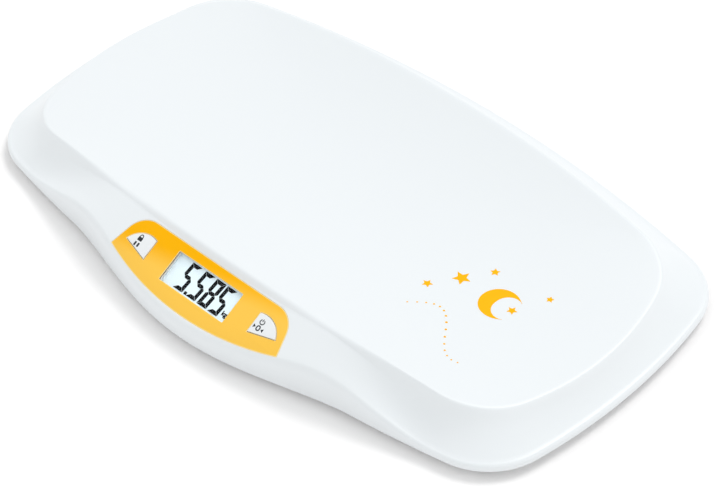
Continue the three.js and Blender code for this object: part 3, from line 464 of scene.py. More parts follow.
# Solids

def skin_of(rings):
    """Closed skin through rings of places: a grid wrapped round, its ends drawn together."""
    columns = len(rings[0])
    rows = len(rings) - 1
    bm = bmesh.new()
    bmesh.ops.create_grid(bm, x_segments=columns, y_segments=rows, size=1)
    for vert in bm.verts:
        column = round((vert.co.x + 1) / 2 * columns) % columns
        row = round((vert.co.y + 1) / 2 * rows)
        vert.co = rings[row][column]
    bmesh.ops.remove_doubles(bm, verts=bm.verts, dist=1e-4)
    bmesh.ops.recalc_face_normals(bm, faces=bm.faces)
    return bm


def prism(outline, *levels):
    """Upright solid on an outline: each level is a height and how far the outline grows there."""
    rings = [[Vector((p.x, p.y, z)) for p in outline(grow)] for z, grow in levels]
    ends = [sum(ring, Vector()) / len(ring) for ring in (rings[0], rings[-1])]
    count = len(rings[0])
    return skin_of([[ends[0]] * count] + rings + [[ends[1]] * count])


def flat_shape(points, low, high):
    """Upright solid on a line of points, between two heights."""
    return prism(lambda grow: points, (low, 0), (high, 0))


def turned(profile, steps=48):
    """Solid turned about Z from pairs of radius and height that start and end on the axis."""
    turns = [2 * math.pi * i / steps for i in range(steps)]
    return skin_of([[Vector((r * math.cos(t), r * math.sin(t), z)) for t in turns] for r, z in profile])


def block(low, high, edge=0):
    """Block between two corners, its edges rounded."""
    low = Vector(low)
    high = Vector(high)
    bm = bmesh.new()
    bmesh.ops.create_cube(bm, size=1)
    bmesh.ops.scale(bm, vec=high - low, verts=bm.verts)
    bmesh.ops.translate(bm, vec=(low + high) / 2, verts=bm.verts)
    if edge:
        bmesh.ops.bevel(
            bm, geom=bm.edges[:], offset=edge, segments=2, profile=0.5, affect="EDGES", material=-1,
        )
    return bm


def block_at(centre, half_x, half_y, low, high):
    """Block about a place, between two heights."""
    x, y = centre
    return block((x - half_x, y - half_y, low), (x + half_x, y + half_y, high))


def block_across(outs, ups, low, high):
    """Block between two pairs of distances, each in either order, and two heights."""
    return block((min(outs), min(ups), low), (max(outs), max(ups), high))


def bar(radius, low_x, high_x, y, z, steps=32):
    """Round bar along X."""
    bm = bmesh.new()
    bmesh.ops.create_cone(
        bm, cap_ends=True, segments=steps, radius1=radius, radius2=radius, depth=high_x - low_x,
    )
    bmesh.ops.rotate(bm, cent=(0, 0, 0), matrix=Matrix.Rotation(math.pi / 2, 3, "Y"), verts=bm.verts)
    bmesh.ops.translate(bm, vec=((low_x + high_x) / 2, y, z), verts=bm.verts)
    return bm


def ribbon(path, widths, low, high, closed=False):
    """Flat strip along a level path, each point of which has its own width."""
    count = len(path)
    rings = []
    for i, place in enumerate(path):
        before = path[i - 1] if closed or i else place
        after = path[(i + 1) % count] if closed or i + 1 < count else place
        way = (after - before).normalized()
        across = Vector((-way.y, way.x)) * widths[i] / 2
        left = place + across
        right = place - across
        corners = ((left, low), (right, low), (right, high), (left, high))
        rings.append([Vector((p.x, p.y, z)) for p, z in corners])
    if closed:
        rings.append(rings[0])
    else:
        ends = [sum(ring, Vector()) / 4 for ring in (rings[0], rings[-1])]
        rings = [[ends[0]] * 4] + rings + [[ends[1]] * 4]
    return skin_of(rings)


def moved(bm, place):
    """Moves a solid by a distance or with a matrix."""
    matrix = place if isinstance(place, Matrix) else Matrix.Translation(place)
    bmesh.ops.transform(bm, matrix=matrix, verts=bm.verts)
    return bm


def together(solids):
    """One bmesh that holds several solids side by side."""
    whole = bmesh.new()
    for bm in solids:
        mesh = bpy.data.meshes.new("loose")
        bm.to_mesh(mesh)
        bm.free()
        whole.from_mesh(mesh)
        bpy.data.meshes.remove(mesh)
    return whole


def carved(body, *steps):
    """Joins solids to a body or cuts them from it, in order."""
    def stand_in(bm):
        mesh = bpy.data.meshes.new("work")
        bm.to_mesh(mesh)
        bm.free()
        made = bpy.data.objects.new("work", mesh)
        bpy.context.scene.collection.objects.link(made)
        return made

    base = stand_in(body)
    tools = []
    for operation, solid in steps:
        tool = stand_in(solid)
        modifier = base.modifiers.new(operation.lower(), "BOOLEAN")
        modifier.operation = operation
        modifier.solver = "EXACT"
        modifier.object = tool
        tools.append(tool)
    graph = bpy.context.evaluated_depsgraph_get()
    mesh = bpy.data.meshes.new_from_object(base.evaluated_get(graph))
    result = bmesh.new()
    result.from_mesh(mesh)
    bmesh.ops.dissolve_degenerate(result, dist=1e-4, edges=result.edges)
    bpy.data.meshes.remove(mesh)
    for made in [base, *tools]:
        spent = made.data
        bpy.data.objects.remove(made)
        bpy.data.meshes.remove(spent)
    return result


def finished(bm, name, body, materials, replaces=(), sharp=30):
    """Makes a solid a piece: scales it to metres, gives it its finish and hangs it on its body."""
    bmesh.ops.scale(bm, vec=(MM, MM, MM), verts=bm.verts)
    mesh = bpy.data.meshes.new(name)
    bm.to_mesh(mesh)
    bm.free()
    for material in materials:
        mesh.materials.append(material)
    mesh.shade_smooth()
    mesh.set_sharp_from_angle(angle=math.radians(sharp))
    piece = bpy.data.objects.new(name, mesh)
    bpy.context.scene.collection.objects.link(piece)
    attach(piece, body)
    if replaces:
        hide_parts(*replaces)
    return piece


# Finishes

def effect_group(name, inputs, outputs):
    """New node group with named sockets, with its input and output nodes."""
    tree = bpy.data.node_groups.new(name, "ShaderNodeTree")
    for label, kind, value in inputs:
        socket = tree.interface.new_socket(name=label, in_out="INPUT", socket_type=kind)
        socket.default_value = value
    for label, kind in outputs:
        tree.interface.new_socket(name=label, in_out="OUTPUT", socket_type=kind)
    return tree, tree.nodes.new("NodeGroupInput"), tree.nodes.new("NodeGroupOutput")


def feed(tree, value, socket):
    """Gives an input a plain value, or the output of another node."""
    if isinstance(value, bpy.types.NodeSocket):
        tree.links.new(value, socket)
    else:
        socket.default_value = value


def maths(tree, operation, first, second):
    """Output of a calculation on two values."""
    node = tree.nodes.new("ShaderNodeMath")
    node.operation = operation
    feed(tree, first, node.inputs[0])
    feed(tree, second, node.inputs[1])
    return node.outputs[0]


def noise(tree, vector, scale, detail, rough=0.5):
    """Output of a noise texture."""
    node = tree.nodes.new("ShaderNodeTexNoise")
    feed(tree, vector, node.inputs["Vector"])
    feed(tree, scale, node.inputs["Scale"])
    feed(tree, detail, node.inputs["Detail"])
    feed(tree, rough, node.inputs["Roughness"])
    return node.outputs["Fac"]


def mix(tree, factor, first, second):
    """Output of a mix of two colours."""
    node = tree.nodes.new("ShaderNodeMix")
    node.data_type = "RGBA"
    feed(tree, factor, node.inputs["Factor"])
    for colour, socket in ((first, node.inputs[6]), (second, node.inputs[7])):
        is_output = isinstance(colour, bpy.types.NodeSocket)
        feed(tree, colour if is_output else (*colour, 1), socket)
    return node.outputs[2]


def vector_maths(tree, operation, vector, value, label):
    """Output of a vector changed by a value, which goes into the input with this label or number."""
    node = tree.nodes.new("ShaderNodeVectorMath")
    node.operation = operation
    feed(tree, vector, node.inputs[0])
    feed(tree, value, node.inputs[label])
    return node.outputs[0]


def object_place(tree):
    """Places on the object, in metres."""
    return tree.nodes.new("ShaderNodeTexCoord").outputs["Object"]


def axes_of(tree, vector):
    """X, Y and Z of a vector."""
    node = tree.nodes.new("ShaderNodeSeparateXYZ")
    feed(tree, vector, node.inputs[0])
    return node.outputs


def raise_surface(tree, shader, height, strength, distance):
    """Lets a height raise the surface of a shader."""
    relief = tree.nodes.new("ShaderNodeBump")
    feed(tree, strength, relief.inputs["Strength"])
    feed(tree, distance, relief.inputs["Distance"])
    feed(tree, height, relief.inputs["Height"])
    feed(tree, relief.outputs["Normal"], shader.inputs["Normal"])


def moulded_skin():
    """Shared effect of a moulded surface: faint cloudiness of its colour, gloss and fine grain."""
    found = bpy.data.node_groups.get("Moulded skin")
    if found:
        return found
    tree, given, wanted = effect_group(
        "Moulded skin",
        [
            ("Colour", "NodeSocketColor", (0.8, 0.8, 0.8, 1)),
            ("Cloud", "NodeSocketFloat", 0.03),
            ("Cloud scale", "NodeSocketFloat", 12),
            ("Gloss", "NodeSocketFloat", 0.3),
            ("Gloss spread", "NodeSocketFloat", 0.08),
            ("Grain scale", "NodeSocketFloat", 900),
        ],
        [("Colour", "NodeSocketColor"), ("Roughness", "NodeSocketFloat"), ("Height", "NodeSocketFloat")],
    )
    place = object_place(tree)
    clouds = noise(tree, place, given.outputs["Cloud scale"], 3)
    grain = noise(tree, place, given.outputs["Grain scale"], 4, 0.6)
    smears = noise(tree, place, maths(tree, "MULTIPLY", given.outputs["Cloud scale"], 5), 4)
    swing = maths(tree, "MULTIPLY", maths(tree, "SUBTRACT", clouds, 0.5), given.outputs["Cloud"])
    brightness = maths(tree, "ADD", swing, 1)
    colour = vector_maths(tree, "SCALE", given.outputs["Colour"], brightness, "Scale")
    uneven = maths(tree, "SUBTRACT", maths(tree, "ADD", grain, smears), 1)
    spread = maths(tree, "MULTIPLY", uneven, given.outputs["Gloss spread"])
    feed(tree, colour, wanted.inputs["Colour"])
    feed(tree, maths(tree, "ADD", given.outputs["Gloss"], spread), wanted.inputs["Roughness"])
    feed(tree, grain, wanted.inputs["Height"])
    return tree


def brushed_metal():
    """Shared effect of rolled or brushed metal: fine streaks along one way, and stains."""
    found = bpy.data.node_groups.get("Brushed metal")
    if found:
        return found
    tree, given, wanted = effect_group(
        "Brushed metal",
        [
            ("Colour", "NodeSocketColor", (0.6, 0.6, 0.6, 1)),
            ("Stain", "NodeSocketColor", (0.4, 0.4, 0.4, 1)),
            ("Gloss", "NodeSocketFloat", 0.3),
            ("Streaks", "NodeSocketVector", (60, 2500, 2500)),
        ],
        [("Colour", "NodeSocketColor"), ("Roughness", "NodeSocketFloat"), ("Height", "NodeSocketFloat")],
    )
    place = object_place(tree)
    streaks = noise(tree, vector_maths(tree, "MULTIPLY", place, given.outputs["Streaks"], 1), 1, 3)
    stains = maths(tree, "MULTIPLY", noise(tree, place, 90, 4, 0.6), 0.45)
    colour = mix(tree, stains, given.outputs["Colour"], given.outputs["Stain"])
    spread = maths(tree, "MULTIPLY", maths(tree, "SUBTRACT", streaks, 0.5), 0.25)
    feed(tree, colour, wanted.inputs["Colour"])
    feed(tree, maths(tree, "ADD", given.outputs["Gloss"], spread), wanted.inputs["Roughness"])
    feed(tree, streaks, wanted.inputs["Height"])
    return tree


def made_once(make):
    """Lets a maker of a material look for its name first, so that each is made only once."""
    def give(name, *values, **options):
        return bpy.data.materials.get(name) or make(name, *values, **options)
    return give


def new_finish(name, **sockets):
    """Material with one Principled shader, its plain values set on its own sockets."""
    material = bpy.data.materials.new(name)
    material.use_nodes = True
    tree = material.node_tree
    shader = tree.nodes["Principled BSDF"]
    for label, value in sockets.items():
        shader.inputs[label.replace("_", " ")].default_value = value
    return material, tree, shader


def use_group(tree, shader, group, bump, **values):
    """Places a shared effect in a material and joins it to the shader."""
    node = tree.nodes.new("ShaderNodeGroup")
    node.node_tree = group
    for label, value in values.items():
        feed(tree, value, node.inputs[label.replace("_", " ")])
    feed(tree, node.outputs["Colour"], shader.inputs["Base Color"])
    feed(tree, node.outputs["Roughness"], shader.inputs["Roughness"])
    raise_surface(tree, shader, node.outputs["Height"], bump, GRAIN_RELIEF)
    return node


@made_once
def moulded(name, colour, gloss, bump=0.05, cloud=0.03, cloud_scale=12, grain=900, spread=0.06, **sockets):
    """Plain moulded plastic, rubber or print."""
    material, tree, shader = new_finish(name, **sockets)
    use_group(
        tree, shader, moulded_skin(), bump, Colour=(*colour, 1), Cloud=cloud, Cloud_scale=cloud_scale,
        Gloss=gloss, Gloss_spread=spread, Grain_scale=grain,
    )
    return material


@made_once
def metal(name, colour, stain, gloss, streaks, bump=0.08):
    """Rolled, turned or plated metal."""
    material, tree, shader = new_finish(name, Metallic=1)
    use_group(
        tree, shader, brushed_metal(), bump, Colour=(*colour, 1), Stain=(*stain, 1), Gloss=gloss,
        Streaks=streaks,
    )
    return material


def shell_white(settings):
    """Glossy white of the top shell."""
    return moulded(
        "Shell white", settings.shell.colour, settings.shell.gloss, bump=0.012, cloud=0.012,
        cloud_scale=6, grain=260, spread=0.03, IOR=1.5,
    )


def base_white():
    """Duller, grained white of the base and the battery door."""
    return moulded(
        "Base white", (0.76, 0.77, 0.78), 0.48, bump=0.35, cloud=0.05, cloud_scale=9, grain=2400,
    )


def steel(name, streaks):
    """Zinc plated steel."""
    return metal(name, (0.62, 0.63, 0.65), (0.45, 0.46, 0.48), 0.3, streaks)


def console_place(tree):
    """Object coordinates turned into the console's own frame, in metres."""
    mapping = tree.nodes.new("ShaderNodeMapping")
    mapping.vector_type = "TEXTURE"
    mapping.inputs["Location"].default_value = (0, -CONSOLE_BACK * MM, CONSOLE_HEIGHT * MM)
    mapping.inputs["Rotation"].default_value = (TILT, 0, 0)
    feed(tree, object_place(tree), mapping.inputs["Vector"])
    return mapping.outputs["Vector"]


@made_once
def plate_amber_and_painted_light(name, settings):
    """Yellow of the plate: deeper towards its back and left as painted shade, paler in front as painted
    light.
    """
    fade_start = 2 * MM
    fade_up = 20 * MM
    fade_out = 120 * MM
    material, tree, shader = new_finish(name, IOR=1.15)
    node = use_group(
        tree, shader, moulded_skin(), 0.04, Cloud=0.02, Cloud_scale=20, Gloss=0.3, Gloss_spread=0.05,
        Grain_scale=1400,
    )
    place = axes_of(tree, console_place(tree))
    up = maths(tree, "MULTIPLY", maths(tree, "ADD", place["Y"], fade_start), 1 / fade_up)
    out = maths(tree, "MULTIPLY", place["X"], 1 / fade_out)
    depth = tree.nodes.new("ShaderNodeMapRange")
    depth.interpolation_type = "SMOOTHSTEP"
    feed(tree, maths(tree, "SUBTRACT", up, out), depth.inputs["Value"])
    feed(tree, 0, depth.inputs["From Min"])
    feed(tree, 1, depth.inputs["From Max"])
    # Painted shade and light: the yellow runs from the deep back colour at the back and left to the pale
    # front colour in front
    yellow = mix(tree, depth.outputs["Result"], settings.plate.front_painted_light_colour, settings.plate.back_painted_shade_colour)
    feed(tree, yellow, node.inputs["Colour"])
    return material


@made_once
def clear_lens(name):
    """Clear plastic of the display's window."""
    material, tree, shader = new_finish(
        name, Base_Color=(0.99, 1, 1, 1), Transmission_Weight=1, IOR=1.12, Roughness=0.01,
    )
    raise_surface(tree, shader, noise(tree, object_place(tree), 60, 2), 0.01, LENS_RELIEF)
    return material


@made_once
def board_green(name):
    """Solder mask with traces and plated pads under it."""
    material, tree, shader = new_finish(name, IOR=1.5, Coat_Weight=0.4, Coat_Roughness=0.2)
    node = use_group(
        tree, shader, moulded_skin(), 0.1, Cloud=0.1, Cloud_scale=40, Gloss=0.35, Gloss_spread=0.08,
        Grain_scale=1800,
    )
    place = console_place(tree)
    traces = tree.nodes.new("ShaderNodeTexBrick")
    feed(tree, place, traces.inputs["Vector"])
    for label, value in (("Scale", 180), ("Mortar Size", 0.035), ("Brick Width", 1.7), ("Row Height", 0.42)):
        feed(tree, value, traces.inputs[label])
    dots = tree.nodes.new("ShaderNodeTexVoronoi")
    feed(tree, place, dots.inputs["Vector"])
    feed(tree, 260, dots.inputs["Scale"])
    pads = maths(tree, "LESS_THAN", dots.outputs["Distance"], 0.16)
    green = mix(tree, traces.outputs["Fac"], (0.012, 0.11, 0.04), (0.03, 0.2, 0.075))
    feed(tree, mix(tree, pads, green, (0.5, 0.5, 0.46)), node.inputs["Colour"])
    return material


@made_once
def striped(name, first, second, pitch, axis, gloss):
    """Two colours in turn along one way, such as the layers of a rubber connector."""
    material, tree, shader = new_finish(name)
    node = use_group(
        tree, shader, moulded_skin(), 0.1, Cloud=0.06, Cloud_scale=60, Gloss=gloss, Gloss_spread=0.06,
        Grain_scale=1500,
    )
    place = axes_of(tree, object_place(tree))
    turns = maths(tree, "DIVIDE", place[axis], pitch)
    band = maths(tree, "GREATER_THAN", maths(tree, "FRACT", turns, 0), 0.5)
    feed(tree, mix(tree, band, first, second), node.inputs["Colour"])
    return material


def dress(material, *names):
    """Gives CAD nodes that stay in sight their finish."""
    for name in names:
        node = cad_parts[name]
        if not node.material_slots:
            node.data.materials.append(material)
        for slot in node.material_slots:
            slot.material = material


# Sizes and colours that can be changed

class BabyScaleShellSettings(bpy.types.PropertyGroup):
    """White, roughness and rounding of the top shell"""
    colour: FloatVectorProperty(
        name="Shell colour", description="White of the top shell",
        subtype="COLOR", size=3, min=0, max=1, default=(0.825, 0.85, 0.865),
    )
    gloss: FloatProperty(
        name="Shell roughness", description="How dull the top shell is",
        subtype="FACTOR", min=0, max=1, default=0.34,
    )
    crest_turns: IntProperty(
        name="Crest easing", description="How many times the section through the crest is eased",
        min=0, max=60, default=26,
    )
    edge: FloatProperty(
        name="Recess flare", description="Flare of the recess in which the plate lies",
        unit="LENGTH", min=0, max=0.001, default=0.00025,
    )


class BabyScalePlateSettings(bpy.types.PropertyGroup):
    """Yellows and bevel of the console's plate"""
    # Painted shade: this deep yellow stands for shade on the plate's back and left
    back_painted_shade_colour: FloatVectorProperty(
        name="Back colour", description="Deep yellow at the plate's back and left",
        subtype="COLOR", size=3, min=0, max=1, default=(0.98, 0.46, 0.0),
    )
    # Painted light: this paler yellow stands for light falling on the plate's front
    front_painted_light_colour: FloatVectorProperty(
        name="Front colour", description="Paler yellow at the plate's front",
        subtype="COLOR", size=3, min=0, max=1, default=(1.0, 0.59, 0.085),
    )
    # Painted highlight: the pale yellow of the bevel stands for light caught on the plate's edge
    edge_highlight_colour: FloatVectorProperty(
        name="Edge colour", description="Pale yellow of the plate's bevelled edge",
        subtype="COLOR", size=3, min=0, max=1, default=(1.0, 0.78, 0.36),
    )
    edge: FloatProperty(
        name="Edge bevel", description="Bevel of the plate's upper edges",
        unit="LENGTH", min=0, max=0.001, default=0.0004,
    )


class BabyScaleDisplaySettings(bpy.types.PropertyGroup):
    """Ground and digits of the display"""
    glass_colour: FloatVectorProperty(
        name="Glass colour", description="Pale ground of the display",
        subtype="COLOR", size=3, min=0, max=1, default=(0.77, 0.89, 0.95),
    )
    digit_height: FloatProperty(
        name="Digit height", description="Height of the display's digits",
        unit="LENGTH", min=0.005, max=0.024, default=0.0231,
    )
    digit_slant: FloatProperty(
        name="Digit slant", description="How far the digits lean",
        subtype="ANGLE", min=0, max=0.3, default=math.radians(5),
    )


class BabyScalePrintSettings(bpy.types.PropertyGroup):
    """Colour and size of the print in the tray"""
    colour: FloatVectorProperty(
        name="Print colour", description="Amber of the print in the tray",
        subtype="COLOR", size=3, min=0, max=1, default=(1.0, 0.49, 0.0),
    )
    moon_radius: FloatProperty(
        name="Moon radius", description="Radius of the moon in the print",
        unit="LENGTH", min=0.005, max=0.03, default=0.017,
    )


class BabyScaleStageSettings(bpy.types.PropertyGroup):
    """Strengths of the lamps, the world and the floor"""
    world_strength: FloatProperty(
        name="World light", description="Strength of the even light from all round",
        min=0, max=2, default=0.765,
    )
    main_strength: FloatProperty(
        name="Main lamp", description="Strength of the lamp above and behind",
        min=0, max=20, default=0.95,
    )
    left_strength: FloatProperty(
        name="Left lamp", description="Strength of the wide lamp on the left",
        min=0, max=20, default=0.25,
    )
    right_strength: FloatProperty(
        name="Right lamp", description="Strength of the wide lamp on the right",
        min=0, max=20, default=0.3,
    )
    floor_lift: FloatProperty(
        name="Floor lift", description="How much the floor shines of itself, so that it shows white",
        subtype="FACTOR", min=0, max=1, default=0.05,
    )


class BabyScaleSettings(bpy.types.PropertyGroup):
    """All that can be changed on the scale and its stage"""
    shell: PointerProperty(type=BabyScaleShellSettings)
    plate: PointerProperty(type=BabyScalePlateSettings)
    display: PointerProperty(type=BabyScaleDisplaySettings)
    tray_print: PointerProperty(type=BabyScalePrintSettings)
    stage: PointerProperty(type=BabyScaleStageSettings)


# Forms of the pieces

def shell_skin(crest_turns):
    """Closed skin of the top shell, with its crest eased and its lip rounded."""
    stations = stations_round(end_steps=10, corner_steps=24, back_steps=28, front_steps=64)
    tray_steps = 24
    crest_steps = 16
    wall_steps = 24
    outside = skin_rings(stations, 0, tray_steps, crest_steps, (wall_steps, 12, 10))
    low = tray_steps + 1
    high = tray_steps + crest_steps + wall_steps
    for _ in range(crest_turns):
        outside[low:high] = [
            [(a + b * 2 + c) / 4 for a, b, c in zip(*outside[i - 1:i + 2])] for i in range(low, high)
        ]
    lip_section = ((0, 0.8), (0.2, 0.25), (0.7, 0), (1.9, 0), (SHELL_WALL, 0.4))
    lip = [level_ring(stations, inset, LIP_HEIGHT + rise) for inset, rise in lip_section]
    inside = skin_rings(stations, SHELL_WALL, 8, 2, (8, 4, 4))
    return skin_of(outside + lip + inside[::-1])


def shell_inner_forms():
    """Seat of the plate and bosses for the screws, as far as they lie within the shell."""
    seat_grow = 1.5
    board_boss_radius = 2.8
    base_boss_radius = 4.2
    stations = stations_round(end_steps=4, corner_steps=8, back_steps=8, front_steps=20)
    within = skin_rings(stations, WALL_MIDDLE, 6, 2, (8, 4, 4))
    within += [level_ring(stations, WALL_MIDDLE, LIP_HEIGHT), pole_ring(stations, LIP_HEIGHT)]
    seat = moved(prism(plate_outline, (-SEAT_THICKNESS, seat_grow), (SEAT_THICKNESS, seat_grow)), CONSOLE)
    board_bosses = []
    for place in BOARD_SCREW_PLACES:
        boss_outline = circle(board_boss_radius, place, 20)
        boss = prism(boss_outline, (-BOARD_DEPTH + SEAT_GAP, 0), (-SEAT_THICKNESS + 1, 0))
        board_bosses.append(moved(boss, CONSOLE))
    base_bosses = [
        prism(circle(base_boss_radius, place, 24), (BOSS_LOW, 0), (CREST_TOP, 0)) for place in SCREW_PLACES
    ]
    forms = carved(seat, ("UNION", together(base_bosses)), ("UNION", together(board_bosses)))
    return carved(skin_of(within), ("INTERSECT", forms))


def console_openings():
    """What is cut through the console: the window, the key openings and the board's screw holes."""
    above = 4
    key_depth = 9
    pilot_radius = 1.3
    pilot_top = 6.8
    window = prism(rounded_rectangle(*WINDOW), (-BOARD_DEPTH, 0), (above, 0))
    keys = [prism(key_outline(side), (-key_depth, SLIDE_GAP), (above, SLIDE_GAP)) for side in (1, -1)]
    pilots = [
        prism(circle(pilot_radius, place, 16), (-BOARD_DEPTH, 0), (-pilot_top, 0))
        for place in BOARD_SCREW_PLACES
    ]
    return moved(together([window, *keys, *pilots]), CONSOLE)


def segment_bars(width, height, thick, gap):
    """Outlines of the seven bars of a figure, about its middle."""
    x = width / 2
    y = height / 2
    tip = x - thick / 2 - gap
    upright = [
        (-x, y - gap), (-x + thick, y - thick - gap), (-x + thick, thick / 2 + gap),
        (-x + thick / 2, gap), (-x, thick / 2 + gap),
    ]
    bars = {
        "top": [(-x + gap, y), (x - gap, y), (x - thick - gap, y - thick), (-x + thick + gap, y - thick)],
        "low": [(-x + thick + gap, thick - y), (x - thick - gap, thick - y), (x - gap, -y), (-x + gap, -y)],
        "middle": [
            (-tip, 0), (-tip + thick / 2, thick / 2), (tip - thick / 2, thick / 2), (tip, 0),
            (tip - thick / 2, -thick / 2), (-tip + thick / 2, -thick / 2),
        ],
    }
    for row, way in (("top", 1), ("low", -1)):
        bars[row + "_left"] = [(px, way * py) for px, py in upright]
        bars[row + "_right"] = [(-px, way * py) for px, py in upright]
    return bars


def unit_letters():
    """The letters of the unit, as a thin solid about its own middle height."""
    text = bpy.data.curves.new("unit", "FONT")
    text.body = "kg"
    text.size = 5.2
    text.extrude = READING_HEIGHT / 2
    text.offset = 0.22
    text.align_x = "CENTER"
    holder = bpy.data.objects.new("unit", text)
    bpy.context.scene.collection.objects.link(holder)
    graph = bpy.context.evaluated_depsgraph_get()
    mesh = bpy.data.meshes.new_from_object(holder.evaluated_get(graph))
    letters = bmesh.new()
    letters.from_mesh(mesh)
    bpy.data.meshes.remove(mesh)
    bpy.data.objects.remove(holder)
    bpy.data.curves.remove(text)
    return letters


def display_reading(height, slant):
    """Seven-segment digits, a point and the unit, as thin shapes on the glass."""
    lean = math.tan(slant)
    rise = 0.3
    bars = segment_bars(width=9.6, height=height, thick=3.05, gap=0.13)
    five = ("top", "top_left", "middle", "low_right", "low")
    low = -GLASS_DEPTH
    high = -GLASS_DEPTH + READING_HEIGHT
    shapes = []
    for centre, figure in ((-16.1, five), (-2.8, five), (8.8, bars), (19.8, five)):
        for name in figure:
            points = [Vector((centre + px + py * lean, rise + py)) for px, py in bars[name]]
            shapes.append(flat_shape(softened(points, 0.25, True), low, high))
    point = rounded_rectangle(2.5, 2.5, 0.3, (-9.6, -height / 2 + 1.5))
    shapes.append(flat_shape(point(0), low, high))
    shapes.append(moved(unit_letters(), (28, -height / 2 + 3.4, low + READING_HEIGHT / 2)))
    return together(shapes)


def lock_marks():
    """Padlock above two upright bars."""
    x = -66.6
    y = 4.6
    bow = 1.3
    shackle = [Vector((x - bow, y - 0.2))] + circle_points((x, y + 0.9), bow, math.pi, 0, 12)
    shackle.append(Vector((x + bow, y - 0.2)))
    body = rounded_rectangle(4.2, 3.1, 0.4, (x, y - 1.3))
    marks = [
        flat_shape(body(0), MARK_LOW, MARK_HIGH),
        ribbon(shackle, [MARK_LINE] * len(shackle), MARK_LOW, MARK_HIGH),
    ]
    for out in (-1.5, 1.5):
        upright = rounded_rectangle(1.6, 3.4, 0.4, (x + out, -1.3))
        marks.append(flat_shape(upright(0), MARK_LOW, MARK_HIGH))
    return together(marks)


def power_marks():
    """Power symbol above a nought between two arrowheads."""
    x = 60.3
    y = 3.9
    row = -1.3
    ring = circle_points((x, y), 1.9, math.radians(125), math.radians(415), 28)
    stroke = rounded_rectangle(MARK_LINE, 2.2, 0.3, (x, y + 1.3))
    nought = rounded_rectangle(2.7, 3.6, 1.3, (x, row))(0)
    marks = [
        ribbon(ring, [MARK_LINE] * len(ring), MARK_LOW, MARK_HIGH),
        flat_shape(stroke(0), MARK_LOW, MARK_HIGH),
        ribbon(nought, [0.95] * len(nought), MARK_LOW, MARK_HIGH, closed=True),
    ]
    for way in (1, -1):
        head = [
            Vector((x + way * 2.5, row)),
            Vector((x + way * 4.6, row + 1.5)),
            Vector((x + way * 4.6, row - 1.5)),
        ]
        marks.append(flat_shape(head[::way], MARK_LOW, MARK_HIGH))
    return together(marks)


def moon_shape(radius):
    """Crescent moon, open to the right."""
    middle = Vector((170, -4))
    half_turn = 125
    steps = 48
    turns = [math.radians(-half_turn + 2 * half_turn * i / steps) for i in range(steps + 1)]
    path = [middle + Vector((-math.cos(t), math.sin(t))) * (radius * 0.8) for t in turns]
    widths = [max(0.3, radius * 0.72 * math.cos(t * 0.72) ** 1.5) for t in turns]
    return ribbon(path, widths, 0, PRINT_HEIGHT)


def star_shape(x, y, size, twist):
    """Five-pointed star with rounded tips."""
    points = []
    for i in range(10):
        turn = twist + i * math.pi / 5
        reach = size if i % 2 == 0 else size * 0.45
        points.append(Vector((x, y)) + Vector((math.cos(turn), math.sin(turn))) * reach)
    return flat_shape(softened(points, 0.8, True), 0, PRINT_HEIGHT)


def dot_trail():
    """Trail of dots in a wave, the largest in its middle."""
    count = 15
    dots = []
    for i in range(count):
        share = i / (count - 1)
        place = (118 + 68 * share, -50 + 16 * math.sin(share * 5.2) - 8 * share)
        radius = 1.0 - 0.35 * abs(2 * share - 1)
        dots.append(flat_shape(circle(radius, place, 16)(0), 0, PRINT_HEIGHT))
    return dots


def laid_on(shapes, carrier):
    """Lays flat shapes on the upper side of a finished piece."""
    clear = 0.02
    bmesh.ops.subdivide_edges(shapes, edges=shapes.edges[:], cuts=1, use_grid_fill=True)
    under = bmesh.new()
    under.from_mesh(carrier.data)
    bmesh.ops.scale(under, vec=(1 / MM,) * 3, verts=under.verts)
    surface = BVHTree.FromBMesh(under)
    under.free()
    above = 200
    for vert in shapes.verts:
        hit = surface.ray_cast(Vector((vert.co.x, vert.co.y, above)), Vector((0, 0, -1)))[0]
        vert.co.z += hit.z + clear
    return shapes


def base_skin():
    """Flat bottom of the base with its chamfered edge and its low rim."""
    stations = stations_round(end_steps=8, corner_steps=16, back_steps=20, front_steps=40)
    inset = SHELL_WALL + 0.6
    section = [
        (BASE_CHAMFER + 1.5, BASE_HEIGHT),
        (BASE_CHAMFER, BASE_HEIGHT + 0.08),
        (2, BASE_HEIGHT + 0.55),
        (1, BASE_HEIGHT + 1.4),
        (0.3, BASE_HEIGHT + 2.3),
        (0, BASE_HEIGHT + BASE_CHAMFER),
        (0, BASE_RIM - 0.3),
        (0.3, BASE_RIM),
        (BASE_WALL - 0.3, BASE_RIM),
        (BASE_WALL, BASE_RIM - 0.3),
        (BASE_WALL, FLOOR_TOP + BASE_WALL / 2),
        (BASE_WALL * 1.3, FLOOR_TOP + 0.4),
        (BASE_WALL * 2, FLOOR_TOP),
    ]
    rings = [pole_ring(stations, BASE_HEIGHT)]
    rings += [level_ring(stations, inset + depth, z) for depth, z in section]
    rings.append(pole_ring(stations, FLOOR_TOP))
    return skin_of(rings)


